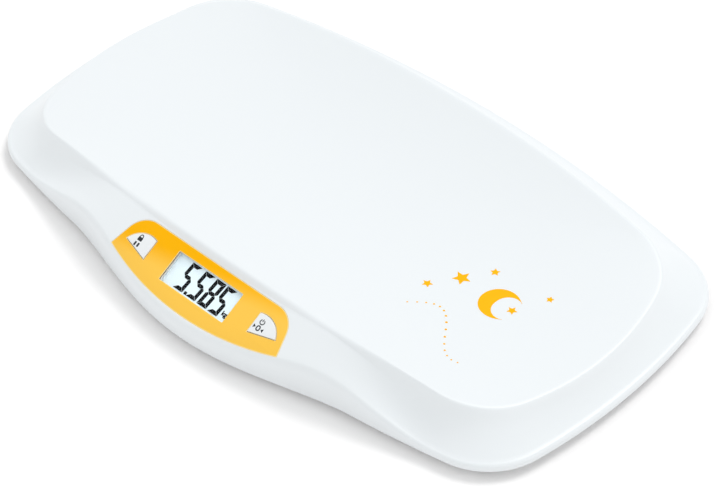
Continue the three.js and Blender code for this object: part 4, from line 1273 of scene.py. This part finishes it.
def cell_pockets():
    """Walls, hollows, ledges and cuts of the four load cell pockets, round the places of the feet."""
    hollow_half = 17
    collar_half = 19
    collar_top = 13
    ledge_inner = 11.95
    ledge_outer = 18
    ledge_top = 10.7
    slot_outer = 24
    beam_slot_inner = 17.6
    beam_slot_half = 5.4
    beam_slot_low = 7.5
    beam_slot_top = 9.9
    lead_slot_inner = 16.7
    lead_slot_half = 1.4
    lead_slot_low = 10.6
    foot_hole = 15.1
    collars = []
    hollows = []
    ledges = []
    cuts = []
    for x, y, inward in FOOT_PLACES.values():
        collars.append(block_at((x, y), collar_half, collar_half, FLOOR_MIDDLE, collar_top))
        hollows.append(block_at((x, y), hollow_half, hollow_half, FLOOR_TOP, collar_top + 1))
        for side in (1, -1):
            for way in (1, -1):
                outs = (x + side * ledge_inner, x + side * ledge_outer)
                ups = (y + way * ledge_inner, y + way * ledge_outer)
                ledges.append(block_across(outs, ups, FLOOR_MIDDLE, ledge_top))
            outs = (x + side * beam_slot_inner, x + side * slot_outer)
            ups = (y - beam_slot_half, y + beam_slot_half)
            cuts.append(block_across(outs, ups, beam_slot_low, beam_slot_top))
        outs = (x - lead_slot_half, x + lead_slot_half)
        ups = (y + inward * lead_slot_inner, y + inward * slot_outer)
        cuts.append(block_across(outs, ups, lead_slot_low, collar_top + 1))
        cuts.append(flared_hole((x, y), foot_hole, 64, 0.5, (FLOOR_TOP + 0.3, 0)))
    return collars, hollows, ledges, cuts


def flared_hole(place, radius, steps, flare, *tops):
    """Round hole from below the base, with a small flare at its mouth."""
    mouth = ((0, flare), (BASE_HEIGHT, flare), (BASE_HEIGHT + flare, 0))
    return prism(circle(radius, place, steps), *mouth, *tops)


def battery_bay():
    """Walls of the battery bay, its hollow, its hinge blocks and the slots in its walls."""
    flare = 0.3
    hinge_outer = 29.55
    hinge_half = 2.9
    pin_hole = 1.1
    pin_reach = 27.75
    contact_slot_outs = (25.05, 32.15)
    contact_slot_half = 1.8
    contact_slot_low = 14.75
    contact_slot_top = 16.95
    walls = block(
        (-BAY_HALF - BAY_WALL, BAY_LOW - BAY_WALL, FLOOR_MIDDLE),
        (BAY_HALF + BAY_WALL, BAY_HIGH + BAY_WALL, BAY_TOP + BAY_WALL),
    )
    barrel_ups = (BARREL_Y - hinge_half, BARREL_Y + hinge_half)
    hinges = []
    for side in (1, -1):
        outs = (side * BAY_HALF, side * hinge_outer)
        hinges.append(block_across(outs, barrel_ups, BASE_HEIGHT + 0.01, BARREL_Z + hinge_half))
    hollow = prism(
        rounded_rectangle(2 * BAY_HALF, BAY_HIGH - BAY_LOW, 0.2, (0, (BAY_LOW + BAY_HIGH) / 2)),
        (0, flare), (BASE_HEIGHT, flare), (BASE_HEIGHT + flare, 0), (BAY_TOP, 0),
    )
    slots = [bar(pin_hole, -pin_reach, pin_reach, BARREL_Y, BARREL_Z)]
    for side, y in ((1, CELL_ROWS[0]), (-1, CELL_ROWS[-1])):
        outs = [side * out for out in contact_slot_outs]
        ups = (y - contact_slot_half, y + contact_slot_half)
        slots.append(block_across(outs, ups, contact_slot_low, contact_slot_top))
    return walls, hollow, hinges, slots


def screw(head_radius, head_height, radius, length, pitch):
    """Pan head with a cross recess, head down, its seat at height 0 and its tip up."""
    root = 0.78
    profile = [
        (0, -head_height),
        (head_radius * 0.55, -head_height),
        (head_radius * 0.9, -head_height * 0.6),
        (head_radius, -0.25),
        (head_radius, 0),
        (radius, 0),
    ]
    z = 0.6
    while z + pitch < length - radius:
        profile += [(radius * root, z), (radius, z + pitch * 0.3), (radius * root, z + pitch * 0.6)]
        z += pitch
    profile += [(radius * 0.7, length - radius), (0, length)]
    reach = head_radius * 0.55
    width = head_radius * 0.17
    depths = (-head_height - 1, -head_height * 0.45)
    return carved(
        turned(profile, 24),
        ("DIFFERENCE", block_at((0, 0), reach, width, *depths)),
        ("DIFFERENCE", block_at((0, 0), width, reach, *depths)),
    )


# One operator for each piece or group of like pieces

class BABYSCALE_OT_top_shell(bpy.types.Operator):
    """Builds the top shell: tray, crest, console and rim moulded in one"""
    bl_idname = "baby_scale.top_shell"
    bl_label = "Top Shell"
    bl_options = {"REGISTER", "UNDO"}

    def execute(self, context):
        settings = context.scene.baby_scale
        edge = settings.shell.edge / MM
        grow = SEAT_GAP + edge
        recess = prism(plate_outline, (-RECESS_DEPTH, SEAT_GAP), (-edge, SEAT_GAP), (0, grow), (6, grow))
        length, width, corner = LENS
        rebate = prism(
            rounded_rectangle(length + 2 * SEAT_GAP, width + 2 * SEAT_GAP, corner + SEAT_GAP),
            (-REBATE_DEPTH, 0), (0, 0),
        )
        well_radius = 1.8
        wells = [
            prism(circle(well_radius, place, 16), (BOSS_LOW - 5, 0), (SCREW_SEAT + SCREW_LENGTH, 0))
            for place in SCREW_PLACES
        ]
        shell = carved(
            shell_skin(settings.shell.crest_turns),
            ("UNION", shell_inner_forms()),
            ("DIFFERENCE", moved(recess, CONSOLE)),
            ("DIFFERENCE", moved(rebate, CONSOLE)),
            ("DIFFERENCE", console_openings()),
            ("DIFFERENCE", together(wells)),
        )
        finished(
            shell, "tray_and_console_moulding", "housing", [shell_white(settings)],
            ["top_shell"], sharp=35,
        )
        return {"FINISHED"}


class BABYSCALE_OT_console_plate(bpy.types.Operator):
    """Builds the yellow plate let into the console"""
    bl_idname = "baby_scale.console_plate"
    bl_label = "Console Plate"
    bl_options = {"REGISTER", "UNDO"}

    def execute(self, context):
        settings = context.scene.baby_scale
        edge = settings.plate.edge / MM
        low = -PLATE_THICKNESS
        fit = 0.22
        plate = prism(
            plate_outline,
            (low, 0.1), (low + 0.1, fit), (-0.5, fit), (-edge, 0), (-edge * 0.3, -edge * 0.3), (0, -edge),
        )
        cuts = [prism(rounded_rectangle(*WINDOW), (-3, 0), (-edge, 0), (0, edge), (2, edge))]
        gap = SLIDE_GAP
        cuts += [
            prism(key_outline(side), (-3, gap), (-edge, gap), (0, gap + edge), (2, gap + edge))
            for side in (1, -1)
        ]
        plate = carved(plate, ("DIFFERENCE", together(cuts)))
        for face in plate.faces:
            face.material_index = self.finish_of(face)
        # Painted highlight: the bevelled edges get a paler yellow for light caught on them
        painted_highlight_yellow = moulded(
            "Plate edge painted highlight", settings.plate.edge_highlight_colour, 0.3, bump=0.02, cloud=0.02, cloud_scale=20,
        )
        # Painted shade: the upright walls of the window are dark to stand for the shade in the recess
        window_wall_painted_shade = moulded("Window wall painted shade", (0.06, 0.065, 0.07), 0.5, bump=0.02, IOR=1.2)
        piece = finished(
            moved(plate, CONSOLE), "yellow_console_plate", "housing",
            [plate_amber_and_painted_light("Plate amber and painted light", settings), painted_highlight_yellow, window_wall_painted_shade], ["console_plate"],
        )
        # The glass lies deep under the plate and would be darkened by its shadow
        piece.visible_shadow = False
        return {"FINISHED"}

    def finish_of(self, face):
        """0 for the yellow, 1 for its bevelled edges, which take a paler yellow as a painted highlight, 2 for
        the upright walls of the window, which take a dark colour as painted shade.
        """
        centre = face.calc_center_median()
        along_window = abs(centre.x) < WINDOW[0] / 2 + 0.1 and abs(centre.y) < WINDOW[1] / 2 + 0.1
        if along_window and abs(face.normal.z) < 0.2:
            return 2
        return 1 if 0.2 < face.normal.z < 0.97 else 0


class BABYSCALE_OT_display(bpy.types.Operator):
    """Builds the lens, the display glass and what it shows"""
    bl_idname = "baby_scale.display"
    bl_label = "Display"
    bl_options = {"REGISTER", "UNDO"}

    def execute(self, context):
        settings = context.scene.baby_scale
        edge = 0.15
        low = -RECESS_DEPTH - LENS_THICKNESS
        lens = prism(
            rounded_rectangle(*LENS),
            (low, -edge), (low + edge, 0), (-RECESS_DEPTH - edge, 0), (-RECESS_DEPTH, -edge),
        )
        piece = finished(
            moved(lens, CONSOLE), "window_lens", "housing", [clear_lens("Clear lens")],
            ["display_window"],
        )
        piece.visible_shadow = False

        edge = 0.1
        low = -GLASS_DEPTH - GLASS_THICKNESS
        middle = -GLASS_DEPTH - GLASS_THICKNESS / 2
        glass = prism(
            rounded_rectangle(*GLASS),
            (low, -edge), (low + edge, 0), (middle - edge, 0), (middle, -0.12),
            (middle + edge, 0), (-GLASS_DEPTH - edge, 0), (-GLASS_DEPTH, -edge),
        )
        for face in glass.faces:
            face.material_index = 0 if abs(face.normal.z) > 0.9 else 1
        ground = moulded(
            "Display glass", settings.display.glass_colour, 0.16, bump=0.01, cloud_scale=30,
        )
        glass_edge = moulded("Display glass edge", (0.5, 0.58, 0.58), 0.3, bump=0.02)
        finished(
            moved(glass, CONSOLE), "display_glass", "housing", [ground, glass_edge],
            ["lcd_panel"],
        )

        reading = display_reading(settings.display.digit_height / MM, settings.display.digit_slant)
        ink = moulded("Display ink", (0.006, 0.007, 0.009), 0.4, bump=0.01, IOR=1.15)
        finished(moved(reading, CONSOLE), "display_reading", "housing", [ink])
        return {"FINISHED"}


class BABYSCALE_OT_keys(bpy.types.Operator):
    """Builds the two keys and the marks on them"""
    bl_idname = "baby_scale.keys"
    bl_label = "Keys"
    bl_options = {"REGISTER", "UNDO"}

    def execute(self, context):
        ink = moulded("Key ink", (0.03, 0.033, 0.038), 0.45, bump=0.01, IOR=1.2)
        cap_white = moulded(
            "Key white", (0.84, 0.855, 0.865), 0.34, bump=0.06, cloud=0.01, cloud_scale=15, grain=1500,
        )
        top = -SEAT_THICKNESS - SEAT_GAP
        low = top - KEY_FLANGE_THICKNESS
        edge = 0.45
        stem_out = 64
        stem_low = -6.45
        rounding = [
            (KEY_PROUD - edge + edge * math.sin(turn), -edge + edge * math.cos(turn))
            for turn in (0, 0.4, 0.8, 1.2, 1.57)
        ]
        for name, side, marks in (("hold", -1, lock_marks()), ("tare", 1, power_marks())):
            outline = key_outline(side)
            cap = prism(outline, (top - KEY_FLANGE_THICKNESS / 2, 0), *rounding)
            flange = prism(outline, (low, KEY_FLANGE - 0.1), (low + 0.1, KEY_FLANGE), (top, KEY_FLANGE))
            stem_outline = circle(2.2, (side * stem_out, 0))
            stem = prism(stem_outline, (stem_low, -0.3), (stem_low + 0.3, 0), (top - 0.3, 0))
            cap = carved(cap, ("UNION", flange), ("UNION", stem))
            body = name + "_key"
            finished(moved(cap, CONSOLE), name + "_key_cap", body, [cap_white], [name + "_key"])
            finished(moved(marks, CONSOLE), name + "_key_marks", body, [ink])
        return {"FINISHED"}


class BABYSCALE_OT_tray_print(bpy.types.Operator):
    """Builds the amber print in the tray: a moon, stars and a trail of dots"""
    bl_idname = "baby_scale.tray_print"
    bl_label = "Tray Print"
    bl_options = {"REGISTER", "UNDO"}

    def execute(self, context):
        settings = context.scene.baby_scale
        stars = (
            (128, -2, 7.5, 0.2),
            (142, 19, 4.2, 0.9),
            (114, -24, 4.6, 0.5),
            (177, -3, 4.4, 0.35),
            (190, 24, 3.4, 0.7),
        )
        shapes = [moon_shape(settings.tray_print.moon_radius / MM)]
        shapes += [star_shape(*star) for star in stars]
        shapes += dot_trail()
        tray = bpy.data.objects["tray_and_console_moulding"]
        ink = moulded(
            "Tray print", settings.tray_print.colour, 0.5, bump=0.03, cloud=0.05, cloud_scale=60,
            grain=1800, IOR=1.2,
        )
        finished(laid_on(together(shapes), tray), "tray_print", "housing", [ink])
        return {"FINISHED"}


class BABYSCALE_OT_base_shell(bpy.types.Operator):
    """Builds the base with its load cell pockets, screw wells and battery bay"""
    bl_idname = "baby_scale.base_shell"
    bl_label = "Base Shell"
    bl_options = {"REGISTER", "UNDO"}

    def execute(self, context):
        collars, hollows, ledges, cuts = cell_pockets()
        walls, bay_hollow, hinges, slots = battery_bay()
        boss_radius = 5.8
        head_hole = 3.7
        step_in = 1.9
        bosses = [
            prism(circle(boss_radius, place), (FLOOR_MIDDLE, 0), (SCREW_SEAT + SCREW_HEAD, 0))
            for place in SCREW_PLACES
        ]
        well_levels = ((SCREW_SEAT, 0), (SCREW_SEAT, -step_in), (SCREW_SEAT + 5, -step_in))
        cuts += [flared_hole(place, head_hole, 32, 0.4, *well_levels) for place in SCREW_PLACES]
        base = carved(
            base_skin(),
            ("UNION", together(collars + bosses + [walls])),
            ("DIFFERENCE", together(hollows)),
            ("UNION", together(ledges + hinges)),
            ("DIFFERENCE", together(cuts)),
            ("DIFFERENCE", bay_hollow),
            ("DIFFERENCE", together(slots)),
        )
        finished(base, "base_tub", "housing", [base_white()], ["base_shell"])
        return {"FINISHED"}


class BABYSCALE_OT_battery_door(bpy.types.Operator):
    """Builds the door of the battery bay"""
    bl_idname = "baby_scale.battery_door"
    bl_label = "Battery Door"
    bl_options = {"REGISTER", "UNDO"}

    def execute(self, context):
        half = BAY_HALF - SLIDE_GAP
        pin_half = 27.35
        top = BASE_HEIGHT + 1.6
        panel_centre = (0, (BAY_LOW + SLIDE_GAP + BARREL_Y) / 2)
        panel = prism(
            rounded_rectangle(2 * half, BARREL_Y - BAY_LOW - SLIDE_GAP, 0.3, panel_centre),
            (BASE_HEIGHT, -0.25), (BASE_HEIGHT + 0.25, 0), (top - 0.15, 0), (top, -0.15),
        )
        grip_y = BAY_LOW + SLIDE_GAP + 8
        grip_radius = 9
        grip = bar(grip_radius, -8, 8, grip_y, BASE_HEIGHT + 0.8 - grip_radius, 96)
        ridges = []
        for step in (-1.6, 0, 1.6):
            low = (-6.5, grip_y + step - 0.3, BASE_HEIGHT + 0.25)
            high = (6.5, grip_y + step + 0.3, BASE_HEIGHT + 1)
            ridges.append(block(low, high, 0.12))
        door = carved(
            panel,
            ("DIFFERENCE", grip),
            ("UNION", together(ridges)),
            ("UNION", bar(1.3, -half, half, BARREL_Y, BARREL_Z, 40)),
            ("UNION", bar(0.8, -pin_half, pin_half, BARREL_Y, BARREL_Z)),
        )
        finished(door, "battery_bay_door", "battery_door", [base_white()], ["battery_door"])
        return {"FINISHED"}


class BABYSCALE_OT_feet(bpy.types.Operator):
    """Builds the four feet and the soft pads under them"""
    bl_idname = "baby_scale.feet"
    bl_label = "Feet"
    bl_options = {"REGISTER", "UNDO"}

    def execute(self, context):
        foot_white = moulded("Foot white", (0.72, 0.73, 0.74), 0.42, bump=0.2, grain=2000)
        pad_grey = moulded(
            "Pad rubber", (0.33, 0.345, 0.36), 0.78, bump=0.5, cloud=0.1, cloud_scale=60, grain=3000,
        )
        # Profiles are pairs of radius and height
        cup = softened([
            (0, 2.3), (13, 2.3), (14.5, 3.8), (14.5, 7.5), (16.3, 7.5),
            (16.3, 8.7), (4, 8.7), (4, 10.7), (0, 10.7),
        ], 0.35)
        grooves = []
        for radius in (10.4, 8, 5.6, 3.2):
            grooves += [(radius + 0.45, 0), (radius + 0.3, 0.35), (radius - 0.3, 0.35), (radius - 0.45, 0)]
        pad = softened([(0, 2), (12.5, 2), (12.5, 0.5), (12, 0), *grooves, (0, 0)], 0.12, steps=2)
        for corner, (x, y, _) in FOOT_PLACES.items():
            body = "foot_" + corner
            finished(
                moved(turned(cup, 64), (x, y, 0)), "foot_cup_" + corner, body, [foot_white],
                ["foot_" + corner],
            )
            finished(
                moved(turned(pad, 64), (x, y, 0)), "soft_pad_" + corner, body, [pad_grey],
                ["foot_pad_" + corner],
            )
        return {"FINISHED"}


class BABYSCALE_OT_screws(bpy.types.Operator):
    """Builds the screws that hold the base and the circuit board"""
    bl_idname = "baby_scale.screws"
    bl_label = "Screws"
    bl_options = {"REGISTER", "UNDO"}

    def execute(self, context):
        plated = steel("Screw steel", (400, 400, 2500))
        for index, (x, y) in enumerate(SCREW_PLACES, 1):
            solid = screw(head_radius=3.3, head_height=SCREW_HEAD, radius=1.5, length=SCREW_LENGTH, pitch=1.1)
            moved(solid, (x, y, SCREW_SEAT - SEAT_GAP))
            finished(
                solid, f"base_fixing_{index}", "housing", [plated], [f"base_screw_{index}"],
            )
        for index, (x, y) in enumerate(BOARD_SCREW_PLACES, 1):
            solid = screw(head_radius=2.2, head_height=1.5, radius=1, length=6.4, pitch=0.8)
            moved(solid, CONSOLE @ Matrix.Translation((x, y, -BOARD_DEPTH - BOARD_THICKNESS - SEAT_GAP)))
            finished(
                solid, f"board_fixing_{index}", "housing", [plated], [f"board_screw_{index}"],
            )
        return {"FINISHED"}


class BABYSCALE_OT_batteries(bpy.types.Operator):
    """Builds the batteries in their bay"""
    bl_idname = "baby_scale.batteries"
    bl_label = "Batteries"
    bl_options = {"REGISTER", "UNDO"}

    def execute(self, context):
        sleeve = moulded(
            "Battery sleeve", (0.05, 0.1, 0.2), 0.28, cloud=0.1, cloud_scale=60, Metallic=0.3,
        )
        band = moulded("Battery band", (0.6, 0.6, 0.58), 0.3, cloud=0.05, cloud_scale=60, Metallic=0.4)
        cap = steel("Battery cap steel", (300, 300, 300))
        radius = 5.25
        tip = 24.25
        band_length = 9
        cap_radius = 4.4
        # The profile is pairs of radius and place along the cell
        profile = softened([
            (0, tip - 44.5), (3.6, tip - 44.5), (3.7, tip - 44.3), (radius, tip - 44.3), (radius, tip - 43.9),
            (radius, tip - band_length), (radius, tip - 8.9), (radius, tip - 1.3), (4.9, tip - 0.8),
            (1.9, tip - 0.8), (1.9, tip), (0, tip),
        ], 0.2)
        for index, (y, side) in enumerate(zip(CELL_ROWS, (1, -1, 1)), 1):
            cell = turned(profile)
            for face in cell.faces:
                centre = face.calc_center_median()
                in_band = centre.z > tip - band_length
                face.material_index = 2 if centre.xy.length < cap_radius else 1 if in_band else 0
            moved(cell, Matrix.Translation((0, y, CELL_Z)) @ Matrix.Rotation(side * math.pi / 2, 4, "Y"))
            finished(
                cell, f"battery_cell_{index}", "housing", [sleeve, band, cap],
                [f"battery_{index}"],
            )
        return {"FINISHED"}


class BABYSCALE_OT_inner_finishes(bpy.types.Operator):
    """Gives the pieces inside the housing their finishes"""
    bl_idname = "baby_scale.inner_finishes"
    bl_label = "Inner Finishes"
    bl_options = {"REGISTER", "UNDO"}

    def execute(self, context):
        frame_white = moulded("Frame white", (0.74, 0.74, 0.72), 0.5, bump=0.15, grain=2000)
        zebra = striped("Zebra rubber", (0.02, 0.02, 0.022), (0.55, 0.5, 0.42), 0.0008, "X", 0.7)
        resin = moulded("Chip resin", (0.01, 0.01, 0.012), 0.35, bump=0.3, cloud=0.2, cloud_scale=120)
        switch_black = moulded("Switch black", (0.02, 0.021, 0.024), 0.45, bump=0.1)
        cell_steel = metal("Cell steel", (0.56, 0.57, 0.58), (0.38, 0.39, 0.4), 0.34, (2500, 60, 2500))
        clamp_grey = moulded("Clamp grey", (0.42, 0.43, 0.44), 0.55, bump=0.25, grain=1800)
        nickel = metal("Contact nickel", (0.68, 0.66, 0.62), (0.5, 0.47, 0.42), 0.24, (2500, 2500, 80))
        lead_grey = striped("Lead grey", (0.2, 0.21, 0.22), (0.27, 0.28, 0.29), 0.0016, "Y", 0.5)
        lead_red = moulded("Lead red", (0.45, 0.03, 0.02), 0.42, bump=0.1, cloud=0.1, cloud_scale=60)
        lead_black = moulded("Lead black", (0.015, 0.015, 0.017), 0.42, bump=0.1)
        dress(board_green("Board green"), "main_board")
        dress(frame_white, "lcd_frame")
        dress(zebra, "zebra_strip")
        dress(resin, "controller_chip")
        dress(switch_black, "hold_switch", "tare_switch")
        for corner in FOOT_PLACES:
            dress(cell_steel, "load_cell_" + corner)
            dress(clamp_grey, "load_cell_clamp_" + corner)
            dress(lead_grey, "load_cell_lead_" + corner)
        dress(nickel, "contact_positive", "contact_bridge_left", "contact_bridge_right", "contact_negative")
        dress(lead_red, "battery_lead_positive")
        dress(lead_black, "battery_lead_negative")
        return {"FINISHED"}


# Stage

def set_camera(scene):
    """Camera at the photo's angle."""
    yaw = math.radians(43.33)
    pitch = math.radians(43.47)
    distance = 1.8048
    target = Vector((0.02928, -0.00549, 0))
    back = Vector((math.sin(yaw) * math.cos(pitch), -math.cos(yaw) * math.cos(pitch), math.sin(pitch)))
    data = bpy.data.cameras.new("photo_camera")
    data.lens = 119.04
    data.sensor_width = 36
    data.clip_start = 0.05
    camera = bpy.data.objects.new("photo_camera", data)
    camera.location = target + back * distance
    camera.rotation_euler = back.to_track_quat("Z", "Y").to_euler()
    scene.collection.objects.link(camera)
    scene.camera = camera


def add_lamp(scene, name, place, strength, spread):
    """Distant lamp that shines from a place towards the middle."""
    data = bpy.data.lights.new(name, "SUN")
    data.energy = strength
    data.angle = math.radians(spread)
    lamp = bpy.data.objects.new(name, data)
    lamp.location = place
    lamp.rotation_euler = Vector(place).to_track_quat("Z", "Y").to_euler()
    scene.collection.objects.link(lamp)


def seen(tree, path):
    """1 for rays that show the background itself, or show it in gloss and through glass."""
    gloss = maths(tree, "MAXIMUM", path.outputs["Is Camera Ray"], path.outputs["Is Glossy Ray"])
    return maths(tree, "MAXIMUM", gloss, path.outputs["Is Transmission Ray"])


def choose_shader(tree, choice, first, second, output):
    """Mixes two shaders by a choice of 0 or 1 into an output."""
    chosen = tree.nodes.new("ShaderNodeMixShader")
    tree.links.new(choice, chosen.inputs["Fac"])
    tree.links.new(first, chosen.inputs[1])
    tree.links.new(second, chosen.inputs[2])
    tree.links.new(chosen.outputs[0], tree.nodes[output].inputs["Surface"])


def light_world(scene, strength):
    """Even light from all round, which shows as white where it is seen."""
    world = bpy.data.worlds.new("studio")
    world.use_nodes = True
    scene.world = world
    tree = world.node_tree
    light = tree.nodes["Background"]
    light.inputs["Color"].default_value = (0.965, 0.99, 1, 1)
    light.inputs["Strength"].default_value = strength
    white = tree.nodes.new("ShaderNodeBackground")
    white.inputs["Color"].default_value = (1, 1, 1, 1)
    white.inputs["Strength"].default_value = 1
    shown = seen(tree, tree.nodes.new("ShaderNodeLightPath"))
    choose_shader(tree, shown, light.outputs[0], white.outputs[0], "World Output")


def floor_paper(lift):
    """White paper that shines a little of itself where it is seen, and is clear from below."""
    material, tree, shader = new_finish(
        "Floor paper", Base_Color=(0.97, 0.952, 0.945, 1), Roughness=0.9, Specular_IOR_Level=0,
        Emission_Color=(1, 1, 1, 1),
    )
    path = tree.nodes.new("ShaderNodeLightPath")
    feed(tree, maths(tree, "MULTIPLY", seen(tree, path), lift), shader.inputs["Emission Strength"])
    back = tree.nodes.new("ShaderNodeNewGeometry").outputs["Backfacing"]
    passed = maths(tree, "MINIMUM", path.outputs["Transparent Depth"], 1)
    clear = tree.nodes.new("ShaderNodeBsdfTransparent")
    below = maths(tree, "MAXIMUM", back, passed)
    choose_shader(tree, below, shader.outputs[0], clear.outputs[0], "Material Output")
    return material


def lay_floor(scene, lift):
    """Wide pale floor on which the scale stands."""
    bm = bmesh.new()
    bmesh.ops.create_grid(bm, x_segments=1, y_segments=1, size=6)
    mesh = bpy.data.meshes.new("floor")
    bm.to_mesh(mesh)
    bm.free()
    mesh.materials.append(floor_paper(lift))
    floor = bpy.data.objects.new("floor", mesh)
    scene.collection.objects.link(floor)


class BABYSCALE_OT_stage(bpy.types.Operator):
    """Sets the camera, the lamps, the world and the floor"""
    bl_idname = "baby_scale.stage"
    bl_label = "Stage"
    bl_options = {"REGISTER", "UNDO"}

    def execute(self, context):
        scene = context.scene
        stage = scene.baby_scale.stage
        scene.view_settings.view_transform = "Standard"
        set_camera(scene)
        add_lamp(scene, "main_lamp", (0, 1, 1.6), stage.main_strength, 24)
        add_lamp(scene, "right_lamp", (1, -0.35, 0.5), stage.right_strength, 60)
        add_lamp(scene, "left_lamp", (-1, -0.5, 0.6), stage.left_strength, 60)
        light_world(scene, stage.world_strength)
        lay_floor(scene, stage.floor_lift)
        return {"FINISHED"}


PIECES = (
    BABYSCALE_OT_stage,
    BABYSCALE_OT_top_shell,
    BABYSCALE_OT_console_plate,
    BABYSCALE_OT_display,
    BABYSCALE_OT_keys,
    BABYSCALE_OT_tray_print,
    BABYSCALE_OT_base_shell,
    BABYSCALE_OT_battery_door,
    BABYSCALE_OT_feet,
    BABYSCALE_OT_screws,
    BABYSCALE_OT_batteries,
    BABYSCALE_OT_inner_finishes,
)


class BABYSCALE_PT_pieces(bpy.types.Panel):
    """Lists the scale's pieces and what can be changed on them"""
    bl_label = "Baby Scale"
    bl_idname = "BABYSCALE_PT_pieces"
    bl_space_type = "VIEW_3D"
    bl_region_type = "UI"
    bl_category = "Baby Scale"

    def draw(self, context):
        settings = context.scene.baby_scale
        for piece in PIECES:
            self.layout.operator(piece.bl_idname)
        for name in ("shell", "plate", "display", "tray_print", "stage"):
            box = self.layout.box()
            group = getattr(settings, name)
            for label in group.__annotations__:
                box.prop(group, label)


CLASSES = (
    BabyScaleShellSettings,
    BabyScalePlateSettings,
    BabyScaleDisplaySettings,
    BabyScalePrintSettings,
    BabyScaleStageSettings,
    BabyScaleSettings,
    *PIECES,
    BABYSCALE_PT_pieces,
)


def register():
    for cls in CLASSES:
        bpy.utils.register_class(cls)
    bpy.types.Scene.baby_scale = PointerProperty(type=BabyScaleSettings)


def unregister():
    del bpy.types.Scene.baby_scale
    for cls in reversed(CLASSES):
        bpy.utils.unregister_class(cls)


def main():
    register()
    ops = bpy.ops.baby_scale
    for build in (
        ops.stage, ops.top_shell, ops.console_plate, ops.display, ops.keys, ops.tray_print, ops.base_shell,
        ops.battery_door, ops.feet, ops.screws, ops.batteries, ops.inner_finishes,
    ):
        build()


if __name__ == "__main__":
    main()
